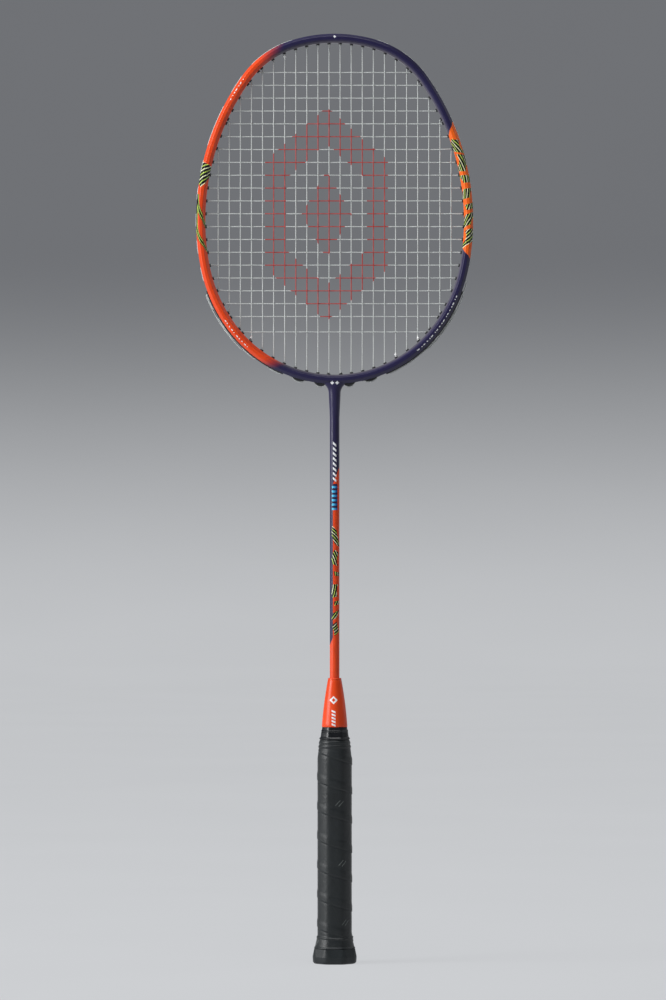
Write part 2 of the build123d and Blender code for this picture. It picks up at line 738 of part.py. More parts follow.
def finishing_tape():
    """The tape between the grip's end and the cone."""
    bottom, top = GRIP_TOP + TAPE_GAP, CONE_BOTTOM - TAPE_GAP
    return handle_body(bottom, top, TAPE_THICKNESS) - handle_body(bottom, top)


# ---------------------------------------------------------------- butt cap
def cap_foot():
    """The flared foot below the grip, rounded at its lower edge."""
    end_width, end_depth = CAP_WIDTH - 2 * CAP_END_INSET, CAP_DEPTH - 2 * CAP_END_INSET
    shoulder = handle_section(HANDLE_FOOT, GRIP_THICKNESS)
    widest = octagon(CAP_WIDEST, CAP_WIDTH, CAP_DEPTH, CAP_BEVEL, CAP_ROUNDING)
    end = octagon(0, end_width, end_depth, CAP_BEVEL, CAP_ROUNDING)
    foot = loft([end, widest, shoulder], ruled=True)
    return fillet(foot.faces().sort_by(Axis.Z)[0].edges(), CAP_EDGE_ROUNDING)


def butt_cap():
    """The plastic cap over the core's end: a foot, and a sleeve under the grip."""
    recess = upright(BADGE_RADIUS + BADGE_CLEARANCE, -CUT_PAST, BADGE_RECESS)
    cap = cap_foot() + handle_body(HANDLE_FOOT, CAP_TOP)
    return cap - core_end() - recess - staples(FIT_CLEARANCE)


def butt_badge():
    """The plain disc in the butt cap's end."""
    return upright(BADGE_RADIUS, BADGE_RECESS - BADGE_THICKNESS, BADGE_RECESS)


# ---------------------------------------------------------------- the assembly
def pieces():
    """Every piece's name and shape."""
    made = {
        "head_frame": head_frame(),
        "t_joint": t_joint(),
        "shaft": shaft(),
        "cone": cone(),
        "handle_core": handle_core(),
        "base_grip": base_grip(),
        "finishing_tape": finishing_tape(),
        "butt_cap": butt_cap(),
        "butt_badge": butt_badge(),
        "butt_staples": Compound(staples()),
        "main_string": main_string(),
        "cross_string": cross_string(),
        "grommets_tip": both_sides(grommet_strip(0)),
    }
    for index, (name, _, _) in enumerate(STRIPS[1:], start=1):
        right = grommet_strip(index)
        made[f"grommets_{name}_right"] = right
        made[f"grommets_{name}_left"] = mirror(right, about=Plane.YZ)
    return made


def main():
    os.makedirs("parts", exist_ok=True)
    for name, shape in pieces().items():
        export_step(shape, f"parts/{name}.step")


if __name__ == "__main__":
    main()
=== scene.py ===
"""Finishes and details of a strung badminton racket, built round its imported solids.

Lengths are in metres. The origin is the centre of the butt's end face, +Z runs up the shaft, the string bed
lies in the XZ plane, and the front of the racket looks along -Y.
"""

from math import atan2, cos, degrees, floor, hypot, pi, radians, sin
import bmesh
import bpy
from bpy.props import FloatProperty, FloatVectorProperty, IntProperty, PointerProperty
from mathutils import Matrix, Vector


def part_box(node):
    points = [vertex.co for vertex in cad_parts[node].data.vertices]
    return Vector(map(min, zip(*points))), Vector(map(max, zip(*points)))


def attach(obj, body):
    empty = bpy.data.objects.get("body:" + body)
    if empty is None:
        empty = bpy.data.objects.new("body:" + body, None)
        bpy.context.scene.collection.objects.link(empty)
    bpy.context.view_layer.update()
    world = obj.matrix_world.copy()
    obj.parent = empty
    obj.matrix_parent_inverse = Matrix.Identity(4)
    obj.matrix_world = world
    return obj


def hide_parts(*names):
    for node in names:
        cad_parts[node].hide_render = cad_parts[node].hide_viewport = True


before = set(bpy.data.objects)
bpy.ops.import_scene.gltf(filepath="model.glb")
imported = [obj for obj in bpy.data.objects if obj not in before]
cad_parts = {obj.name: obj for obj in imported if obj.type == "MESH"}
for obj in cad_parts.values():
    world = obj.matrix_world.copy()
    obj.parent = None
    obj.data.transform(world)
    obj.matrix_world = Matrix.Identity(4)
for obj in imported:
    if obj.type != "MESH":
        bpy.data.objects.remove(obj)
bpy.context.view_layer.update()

bl_info = {
    "name": "Badminton racket",
    "version": (1, 0, 0),
    "blender": (4, 5, 0),
    "location": "3D View > Sidebar > Racket",
    "description": "Dresses a strung badminton racket with its lacquer, strings, grip and trim",
    "category": "Add Mesh",
}

MM = 0.001
BODY = "root"

# ---------------------------------------------------------------- sizes shared with the solids
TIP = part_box("head_frame")[1][2]
HEAD_ANGLES = (0.0, 17.3, 54.8, 100.3, 126.0, 180.0)
HEAD_RADII = (0.1022, 0.0659, 0.1782, 0.1103)
TUBE_HALF_WIDTH = 0.0033
TUBE_HALF_ROUND = 0.0146  # half way round the tube, from its inner to its outer middle
MOUTH_OFFSET = -0.0046  # the ring on which the strings leave their grommets, from the tube's centre line
MAIN_COUNT = 22
MAIN_PITCH = 0.00805
CROSS_COUNT = 21
CROSS_PITCH = 0.00933
LAST_CROSS_PITCH = 0.0112
TOP_CROSS_DROP = 0.028
STRING_LAYER = 0.00036  # mains lie this far behind the middle plane in the solids, crosses before it
STRING_REACH = 0.0022  # nothing of a straight string lies farther from its line
KNOTS = ((-0.0607, 0.4544), (0.0607, 0.4544), (-0.0362, 0.6585), (0.0443, 0.4421))  # x and z of the tied ends
KNOT_REACH = 0.0026  # nothing of a knot lies farther from its middle
KNOT_SHORTENED = 0.6  # a tightened knot's share of its length in the solids
# The pads beside the throat swell into humps: |x| of a hump's two ends, and its rise over the flat pad.
HUMPS = ((0.0063, 0.0150, 0.0010), (0.0222, 0.0311, 0.0004))
HUMP_FULLNESS = 0.8  # below 1, a hump is rounder than a sine
PAD_SUNK = 0.0011  # how far the pads sink towards the tube beside their humps
PADS_FROM, PADS_TO = 0.0029, 0.0335  # |x| between which the pads lie
PAD_ROOT, PAD_TOP = 0.0020, 0.0046  # offset from the tube's centre line where the swelling starts and is full
SHAFT_RADIUS = 0.0035
CONE_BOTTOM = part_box("cone")[0][2]
CONE_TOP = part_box("cone")[1][2]
ROUND_LENGTH = 0.080  # once round the grip
# The bare handle from the foot up: height, width, depth, corner bevel.
HANDLE_STATIONS = (
    (0.0108, 0.0270, 0.0244, 0.0074),
    (0.0205, 0.0226, 0.0200, 0.0060),
    (0.1490, 0.0226, 0.0200, 0.0060),
    (0.1716, 0.0168, 0.0156, 0.0044),
)

# ---------------------------------------------------------------- places of the painted groups
HEAD_REACH, SHAFT_REACH = 0.36, 0.4  # no group lies farther along the head, or down the shaft
PATCH_GROUPS = (
    (0.1225, 0.1325),
    (0.1350, 0.1468),
    (0.1500, 0.1548),
    (0.1590, 0.1672),
    (0.1702, 0.1745),
    (0.1782, 0.1870),
    (0.1898, 0.1998),
)
SHAFT_GROUPS = (
    (0.0140, 0.0250),
    (0.0290, 0.0400),
    (0.0450, 0.0480),
    (0.0545, 0.0640),
    (0.0670, 0.0700),
    (0.0750, 0.0785),
    (0.0825, 0.0920),
)
LEFT_BANDS = ((0.1620, 13.5), (0.1845, 19.0))  # where each thin band starts, and how fast it bows inwards
CLOUD_SPAN = {1: 0.3, 2: 0.7}  # a noise seldom leaves this span, so it is what a map range starts from
SOFTLY = {"interpolation_type": "SMOOTHSTEP"}  # for a map range that starts and ends gently


def linear(hex_colour):
    """An sRGB hex colour as linear red, green and blue, and full opacity."""
    channels = [int(hex_colour[i : i + 2], 16) / 255 for i in (1, 3, 5)]
    return (*(c / 12.92 if c <= 0.04045 else ((c + 0.055) / 1.055) ** 2.4 for c in channels), 1.0)


def colour(name, description, hex_colour):
    rgba = linear(hex_colour)
    return FloatVectorProperty(
        name=name, description=description, default=rgba, subtype="COLOR", size=4, min=0.0, max=1.0
    )


def length(name, description, metres):
    return FloatProperty(
        name=name, description=description, default=metres, unit="LENGTH", subtype="DISTANCE", precision=5
    )


def power(name, description, watts):
    return FloatProperty(name=name, description=description, default=watts, unit="POWER")


# ---------------------------------------------------------------- what a user would change
class RACKET_PG_colours(bpy.types.PropertyGroup):
    """Colours of the racket's finishes."""

    dark: colour("Dark lacquer", "Deep violet blue of the head and the shaft's upper part", "#231F43")
    # The greyer tone of the inner bevel is a painted highlight.
    painted_inner_highlight: colour("Painted inner highlight", "Greyer tone of the dark lacquer, painted on the head's inner bevel as its highlight", "#56535F")
    bright: colour("Bright lacquer", "Red orange of the head's left side, lower shaft and cone", "#E0471B")
    patch: colour("Patch lacquer", "Lighter orange of the patch on the head's right side", "#EC641C")
    stripe_black: colour("Stripe ground", "Black between the fine stripes", "#0B0C0C")
    stripe_lime: colour("Lime stripe", "Every other fine stripe", "#C2DE60")
    # The pale stripe is a lime stripe whitened by a painted highlight.
    stripe_lime_highlight: colour("Lime stripe, painted highlight", "Lime stripes between the plain ones, whitened by a painted highlight", "#EDF2C4")
    mark: colour("Marks", "White of the small plain marks", "#EEF0F2")
    bar_light: colour("Bar, light end", "Sky blue end of the bars on the shaft", "#4FC3E8")
    bar_deep: colour("Bar, deep end", "Blue end of the bars on the shaft", "#1F4F9E")
    string: colour("String", "Uncoloured string", "#C6CAC8")
    knot: colour("Knots", "String that whitens where it is pulled tight", "#FBFCFA")
    stencil: colour("Stencil ink", "Ink of the shape that is stencilled on the string bed", "#B01D10")
    grommet: colour("Grommets", "Plastic of the grommet strips", "#2A2B2E")
    joint: colour("T joint", "Plastic of the joint inside the throat", "#17181A")
    grip: colour("Grip", "Wound grip", "#171C1E")
    grip_mark: colour("Grip marks", "Small embossed marks of the grip", "#8A928F")
    tape: colour("Finishing tape", "Glossy tape over the grip's end", "#0A0D12")
    cap: colour("Butt cap", "Moulded cap at the butt", "#202527")


class RACKET_PG_sizes(bpy.types.PropertyGroup):
    """Sizes of the racket's details."""

    weave: length("Weave depth", "How far a string swings to each side where it passes another", STRING_LAYER)
    weave_margin: length("Weave margin", "Nearer to the frame, strings pass each other straight", 0.0035)
    stripe_pitch: length("Stripe pitch", "From one fine stripe to the next, drawn coarser than it is", 0.0019)
    grip_pitch: length("Grip pitch", "Climb of the wound grip in one turn", 0.0213)
    grip_overlap: length("Grip overlap", "Width over which a turn lies on the one below", 0.0040)
    grip_step: length("Grip step", "Height of a turn's edge over the turn below", 0.00035)
    grip_thickness: length("Grip thickness", "Grip on each side of the bare handle", 0.0013)
    grip_rows: IntProperty(name="Grip rows", description="Faces along the wound grip", default=400, min=20)
    tape_thickness: length("Tape thickness", "Finishing tape on each side of the bare handle", 0.0009)
    tape_edge: length("Tape edge", "Height of the finishing tape's rolled edges", 0.00036)
    cone_lip: length("Cone lip", "Bead round the cone's upper end", 0.00022)


class RACKET_PG_stage(bpy.types.PropertyGroup):
    """Settings of the floor, the lamps and the camera."""

    floor: colour("Floor", "Pale floor", "#CED0D3")
    backdrop: colour("Backdrop", "Darker than the floor, so that the pale strings stand out", "#77797D")
    camera_distance: length("Camera distance", "From the camera to the plane of the strings", 4.0)
    view_height: length("View height", "Height that the view takes in at the racket", 0.7263)
    view_x: length("View centre X", "Where the camera looks, across", -0.0012)
    view_z: length("View centre Z", "Where the camera looks, up", 0.3365)
    key_power: power("Key lamp", "Large box at the left", 124.0)
    top_power: power("Top lamp", "Box overhead", 38.0)
    back_power: power("Back lamp", "Box at the back right", 6.0)
    sky: FloatProperty(name="Sky", description="Strength of the even light all round", default=0.13, min=0.0)


# ---------------------------------------------------------------- small helpers
def settings():
    scene = bpy.context.scene
    return scene.racket_colours, scene.racket_sizes, scene.racket_stage


def ease(low, high, value):
    """0 below low, 1 above high, and a smooth rise between."""
    share = min(max((value - low) / (high - low), 0.0), 1.0)
    return share * share * (3 - 2 * share)


def select_only(obj):
    """Makes this the only selected object, and the active one."""
    bpy.ops.object.select_all(action="DESELECT")
    obj.select_set(True)
    bpy.context.view_layer.objects.active = obj


def edit(obj):
    """Goes into edit mode on one object with all of it selected."""
    select_only(obj)
    bpy.ops.object.mode_set(mode="EDIT")
    bpy.ops.mesh.select_all(action="SELECT")


def copy_of_solid(node, name):
    """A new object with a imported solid's shape, its loose triangles joined."""
    obj = bpy.data.objects.new(name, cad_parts[node].data.copy())
    bpy.context.scene.collection.objects.link(obj)
    obj.data.materials.clear()
    edit(obj)
    bpy.ops.mesh.customdata_custom_splitnormals_clear()
    bpy.ops.mesh.remove_doubles(threshold=1e-6)
    bpy.ops.object.mode_set(mode="OBJECT")
    return obj


def smooth(obj, angle, weighted=False):
    """Smooth shading up to an edge angle in degrees. Weighted, the large flat faces stay flat to the eye."""
    select_only(obj)
    bpy.ops.object.shade_smooth_by_angle(angle=radians(angle))
    if weighted:
        modifier = obj.modifiers.new("flat faces", "WEIGHTED_NORMAL")
        modifier.keep_sharp = True
        bpy.ops.object.modifier_apply(modifier=modifier.name)


def dress(obj, material, node):
    """Gives a piece its material, its body and its slot, and hides the node it replaces."""
    obj.data.materials.clear()
    obj.data.materials.append(material)
    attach(obj, BODY)
    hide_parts(node)


def coat_node(node, material):
    """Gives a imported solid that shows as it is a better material."""
    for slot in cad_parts[node].material_slots:
        slot.material = material


def add(tree, kind, inputs=None, **settings):
    """Adds a shader node with its settings, and links or sets its inputs. The kind may also be a formula, a
    tuple such as ("MULTIPLY", socket, 2.0), which becomes math nodes. An input is a value, a socket, a
    formula, or a node, of which it takes the first output."""
    if isinstance(kind, tuple):
        kind, inputs, settings = "Math", dict(enumerate(kind[1:])), {"operation": kind[0]}
    node = tree.nodes.new("ShaderNode" + kind)
    for name, value in settings.items():
        setattr(node, name, value)
    for key, value in (inputs or {}).items():
        if isinstance(value, tuple) and isinstance(value[0], str):
            value = add(tree, value)
        if isinstance(value, bpy.types.Node):
            value = value.outputs[0]
        if isinstance(value, bpy.types.NodeSocket):
            tree.links.new(value, node.inputs[key])
        else:
            node.inputs[key].default_value = value
    return node


# ---------------------------------------------------------------- the head's outline
def head_arcs():
    """(centre x, centre z, radius, first and last angle) of each arc of the centre line's right half."""
    turns = [sin(radians(a)) for a in HEAD_ANGLES]
    reach = sum(r * (turns[i + 1] - turns[i]) for i, r in enumerate(HEAD_RADII))
    closing = -reach / (turns[-1] - turns[-2])
    arcs = []
    x, z = 0.0, TIP - TUBE_HALF_WIDTH
    for radius, first, last in zip((*HEAD_RADII, closing), HEAD_ANGLES, HEAD_ANGLES[1:]):
        centre_x, centre_z = x - radius * sin(radians(first)), z - radius * cos(radians(first))
        arcs.append((centre_x, centre_z, radius, first, last))
        x, z = centre_x + radius * sin(radians(last)), centre_z + radius * cos(radians(last))
    return arcs


ARCS = head_arcs()


def head_position(x, z):
    """(distance along the head from the tip, offset outwards from the tube's centre line, angle from +Z of
    the outward direction) of a point."""
    best = None
    travelled = 0.0
    for centre_x, centre_z, radius, first, last in ARCS:
        angle = degrees(atan2(abs(x) - centre_x, z - centre_z)) % 360
        if first - 0.01 <= angle <= last + 0.01:
            offset = hypot(abs(x) - centre_x, z - centre_z) - radius
            if best is None or abs(offset) < abs(best[1]):
                best = (travelled + radius * radians(angle - first), offset, angle)
        travelled += radius * radians(last - first)
    return best or (travelled, TUBE_HALF_WIDTH, 180.0)


def map_head(obj):
    """Lays a UV map on the head: U is the distance from the tip along the tube, V the way round the tube from
    its inner middle to its outer one, both in metres and alike on the front and the back."""
    places = []
    for vertex in obj.data.vertices:
        x, y, z = vertex.co
        along, offset, _ = head_position(x, z)
        places.append((along, atan2(abs(y), -offset) / pi * TUBE_HALF_ROUND))
    layer = obj.data.uv_layers.new(name="paint")
    for loop in obj.data.loops:
        layer.data[loop.index].uv = places[loop.vertex_index]


def blend_stem(obj):
    """Thins the lower end of the head's stem, so that it runs into the shaft without a step."""
    rim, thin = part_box("head_frame")[0][2], SHAFT_RADIUS + 0.06 * MM
    for vertex in obj.data.vertices:
        x, y, z = vertex.co
        reach = hypot(x, y)
        if z < rim + 15 * MM and reach > thin:
            left = ease(rim - 5 * MM, rim + 15 * MM, z) if z > rim + 0.1 * MM else 0.0
            share = (thin + (reach - thin) * left) / reach
            vertex.co = (x * share, y * share, z)


# ---------------------------------------------------------------- strings
def main_x(number):
    return MAIN_PITCH * (number - (MAIN_COUNT - 1) / 2)


def cross_z(number):
    last_step = LAST_CROSS_PITCH - CROSS_PITCH if number == CROSS_COUNT - 1 else 0.0
    return TIP - TOP_CROSS_DROP - CROSS_PITCH * number - last_step


def inside(x, z):
    """How far a point lies inside the ring of grommet mouths."""
    return MOUTH_OFFSET - head_position(x, z)[1]


def mouth(x, z, step_x, step_z):
    """The point at which a string that starts inside the head meets the ring of mouths."""
    while inside(x, z) > 0:
        x, z = x + step_x, z + step_z
    return x, z


def woven(main, cross, margin):
    """Which string is behind at a crossing: 1 for the main, -1 for the cross. By the frame it is the main."""
    if inside(main_x(main), cross_z(cross)) < margin:
        return 1
    return 1 if (main + cross) % 2 == 0 else -1


def weave_stations(number, is_main, margin):
    """(place along the string, side) of a string at its mouths and crossings, sorted."""
    step = 0.5 * MM
    if is_main:
        ends = [mouth(main_x(number), cross_z(CROSS_COUNT // 2), 0, way * step)[1] for way in (-1, 1)]
        crossings = [(cross_z(i), woven(number, i, margin)) for i in range(CROSS_COUNT)]
    else:
        ends = [mouth(0, cross_z(number), way * step, 0)[0] for way in (-1, 1)]
        crossings = [(main_x(i), woven(i, number, margin)) for i in range(MAIN_COUNT)]
    stations = [(place, side) for place, side in crossings if ends[0] < place < ends[1]]
    return sorted([(ends[0], 1), *stations, (ends[1], 1)])


def weave_side(stations, place):
    """Side of a string at a place, swinging smoothly from one station to the next."""
    for (low, side), (high, next_side) in zip(stations, stations[1:]):
        if low <= place <= high:
            swing = (1 - cos(pi * (place - low) / (high - low))) / 2
            return side + (next_side - side) * swing
    return 1.0


def slice_across(mesh, faces, axis, start, pitch):
    """Cuts some faces of a mesh across an axis, at every place that lies whole pitches from the start."""
    geometry = list(dict.fromkeys(item for face in faces for item in (face, *face.edges, *face.verts)))
    low = min(v.co[axis] for face in faces for v in face.verts)
    high = max(v.co[axis] for face in faces for v in face.verts)
    normal = [float(i == axis) for i in range(3)]
    for step in range(floor((low - start) / pitch), floor((high - start) / pitch) + 1):
        place = start + step * pitch
        if low < place < high:
            point = [place * n for n in normal]
            cut = bmesh.ops.bisect_plane(mesh, geom=geometry, plane_co=point, plane_no=normal, dist=1e-7)
            geometry = [item for item in cut["geom"] if item.is_valid]


def cut_strings(obj, is_main):
    """Cuts the straight strings across, at the crossings and halfway between them, so they can swing."""
    axis, start, pitch = (2, cross_z(0), CROSS_PITCH / 2) if is_main else (0, main_x(0), MAIN_PITCH / 2)
    mesh = bmesh.new()
    mesh.from_mesh(obj.data)

    def is_long(face):
        return max(v.co[axis] for v in face.verts) - min(v.co[axis] for v in face.verts) > pitch

    # Flat pairs of triangles are joined first, so that each cut leaves half as many faces.
    edges = [edge for edge in mesh.edges if any(is_long(face) for face in edge.link_faces)]
    bmesh.ops.dissolve_limit(mesh, angle_limit=radians(0.5), verts=[], edges=edges)
    slice_across(mesh, [face for face in mesh.faces if is_long(face)], axis, start, pitch)
    mesh.to_mesh(obj.data)
    mesh.free()


def weave(obj, is_main, depth, margin):
    """Swings every string to the back and the front where it passes the others."""
    count = MAIN_COUNT if is_main else CROSS_COUNT
    stations = [weave_stations(i, is_main, margin) for i in range(count)]
    lines = [main_x(i) if is_main else cross_z(i) for i in range(count)]
    for vertex in obj.data.vertices:
        x, y, z = vertex.co
        across, place = (x, z) if is_main else (z, x)
        number = min(range(count), key=lambda i: abs(lines[i] - across))
        if abs(lines[number] - across) < STRING_REACH and inside(x, z) > -0.5 * MM:
            side = weave_side(stations[number], place)
            vertex.co.y += (side - 1) * depth * (1 if is_main else -1)


def tighten_knots(obj):
    """Shortens the knots along their strings, as knots that are pulled tight."""
    for vertex in obj.data.vertices:
        x, _, z = vertex.co
        for knot_x, knot_z in KNOTS:
            if hypot(x - knot_x, z - knot_z) < KNOT_REACH:
                vertex.co.z = knot_z + (z - knot_z) * KNOT_SHORTENED


def hump_rise(x):
    """How far the flat pads rise outwards at a distance from the middle: below zero beside the humps."""
    for first, last, rise in HUMPS:
        if first < x < last:
            swell = sin(pi * (x - first) / (last - first)) ** HUMP_FULLNESS
            return (rise + PAD_SUNK) * swell - PAD_SUNK
    return -PAD_SUNK


def swell_pads(obj):
    """Shapes the flat pads beside the throat, and the string that lies on them, into rounded humps."""
    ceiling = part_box("grommets_throat_outer_left")[1][2]

    def on_pad(vertex):
        x, _, z = vertex.co
        return PADS_FROM < abs(x) < PADS_TO and z < ceiling and head_position(x, z)[1] > PAD_ROOT

    mesh = bmesh.new()
    mesh.from_mesh(obj.data)
    slice_across(mesh, [f for f in mesh.faces if all(on_pad(v) for v in f.verts)], 0, 0.0, 0.5 * MM)
    for vertex in mesh.verts:
        if on_pad(vertex):
            x, _, z = vertex.co
            _, offset, angle = head_position(x, z)
            rise = hump_rise(abs(x)) * min((offset - PAD_ROOT) / (PAD_TOP - PAD_ROOT), 1.0)
            vertex.co.x += rise * sin(radians(angle)) * (1 if x > 0 else -1)
            vertex.co.z += rise * cos(radians(angle))
    mesh.to_mesh(obj.data)
    mesh.free()


# ---------------------------------------------------------------- formulas for masks of paint
def near(value, middle, reach):
    """1 less than reach away from a middle value, and 0 beyond."""
    return ("LESS_THAN", ("ABSOLUTE", ("SUBTRACT", value, middle)), reach)


def all_of(mask, *others):
    """1 where all the masks are 1."""
    for other in others:
        mask = ("MULTIPLY", mask, other)
    return mask


def repeated(value, pitch, share):
    """1 over a share of every pitch, and 0 over the rest."""
    return ("LESS_THAN", ("FRACT", ("DIVIDE", value, pitch)), share)


def leaning(along, across, lean):
    """A length that also grows with the way across, so that a line at which it stays the same leans over."""
    return ("ADD", along, ("MULTIPLY", across, lean))


def swinging(along, rate, swing):
    """A length that swings from side to side along another one."""
    return ("MULTIPLY", ("SINE", ("MULTIPLY", along, rate)), swing)


def diamond(x, z, middle_x, middle_z):
    """A distance that stays the same along the sides of a square on its corner."""
    return ("ADD", ("ABSOLUTE", ("SUBTRACT", x, middle_x)), ("ABSOLUTE", ("SUBTRACT", z, middle_z)))


def stripe_field(along, around, angle, where, turn, pitch):
    """A number that grows by one from one fine stripe to the next. The stripes stand at an angle, in degrees,
    to the tube's length at one place, and lean over slowly along it, by a radian in each turn of length."""
    lean = ("ADD", ("DIVIDE", ("SUBTRACT", along, where), turn), radians(angle))
    return ("DIVIDE", ("MULTIPLY", ("SINE", lean), ("SUBTRACT", turn, around)), pitch)


def seen_directly(tree):
    """1 for what the camera sees, directly, in a reflection or through glass, and 0 for light on things."""
    path = add(tree, "LightPath").outputs
    return ("MAXIMUM", path["Is Camera Ray"], ("MAXIMUM", path["Is Glossy Ray"], path["Is Transmission Ray"]))


# ---------------------------------------------------------------- materials
def start_material(name):
    """A new material with an empty tree; returns both, and the place on the piece in metres."""
    material = bpy.data.materials.new(name)
    material.use_nodes = True
    tree = material.node_tree
    tree.nodes.clear()
    return material, tree, add(tree, "TexCoord").outputs["Object"]


def surface(material, relief, normals=("Normal",), **inputs):
    """Ends a material in a Principled surface. Its relief is a height, a strength and a depth in metres."""
    tree = material.node_tree
    bump = add(tree, "Bump", dict(zip(("Height", "Strength", "Distance"), relief)))
    inputs = {name.replace("_", " "): value for name, value in inputs.items()}
    shader = add(tree, "BsdfPrincipled", {**inputs, **dict.fromkeys(normals, bump)})
    add(tree, "OutputMaterial", {"Surface": shader})
    return material


def uneven(tree, tint, cloud, least, most):
    """A tint that a cloud of noise makes darker and lighter, between two shares of its own brightness."""
    level = add(tree, "MapRange", {0: cloud, **CLOUD_SPAN, 3: least, 4: most})
    return add(tree, "HueSaturation", {"Value": level, "Color": tint})


def layered(tree, ground, *coats):
    """Coats of paint over a ground, the last on top. A coat is a tint and a mask, 1 where it covers."""
    for tint, mask in coats:
        ground = add(tree, "Mix", {0: mask, 6: ground, 7: tint}, data_type="RGBA").outputs[2]
    return ground


def set_stops(ramp, stops, interpolation="CONSTANT"):
    """Gives a colour ramp its stops, each a position and a colour."""
    elements = ramp.color_ramp.elements
    ramp.color_ramp.interpolation = interpolation
    elements.remove(elements[1])
    elements[0].position, elements[0].color = stops[0]
    for position, tint in stops[1:]:
        elements.new(position).color = tint
    return ramp


def striped(tree, field, colours):
    """Black with a lime stripe and a whitened lime stripe in turn; the whitening is a painted highlight."""
    black, lime, pale = colours.stripe_black, colours.stripe_lime, colours.stripe_lime_highlight
    # Every other lime stripe is whitened into a painted highlight.
    ramp = add(tree, "ValToRGB", {0: ("FRACT", ("MULTIPLY", field, 0.5))})
    return set_stops(ramp, ((0.0, black), (0.37, lime), (0.5, black), (0.87, pale)))


def windows(tree, place, ranges, reach):
    """1 inside the given ranges of a place, in metres, and 0 between them. No range lies beyond reach."""
    black, white = (0.0, 0.0, 0.0, 1.0), (1.0, 1.0, 1.0, 1.0)
    stops = [(0.0, black)]
    for first, last in ranges:
        stops += [(first / reach, white), (last / reach, black)]
    return set_stops(add(tree, "ValToRGB", {0: ("DIVIDE", place, reach)}), stops)


def lacquer(name, tint):
    """Sprayed and polished two-pack lacquer under a clear coat, on carbon tube or plastic: deep colour, a
    sharp reflection, and the faint orange peel that spraying leaves. tint builds the colour."""
    material, tree, place = start_material(name)
    # Pigment flakes settle unevenly over a few centimetres, so the colour drifts by a few percent.
    drift = add(tree, "TexNoise", {"Vector": place, "Scale": 45.0, "Detail": 3.0})
    # Orange peel is about a millimetre across and a few microns high.
    peel = add(tree, "TexNoise", {"Vector": place, "Scale": 900.0, "Detail": 2.0})
    return surface(
        material,
        (peel, 0.35, 0.000012),
        ("Normal", "Coat Normal"),
        Base_Color=uneven(tree, tint(tree, place), drift, 0.93, 1.07),
        Roughness=add(tree, "MapRange", {0: drift, 1: 0.35, 2: 0.75, 3: 0.28, 4: 0.42}),
        IOR=1.5,
        Specular_IOR_Level=0.28,
        Coat_Weight=0.1,
        Coat_Roughness=0.12,
        Coat_IOR=1.5,
    )


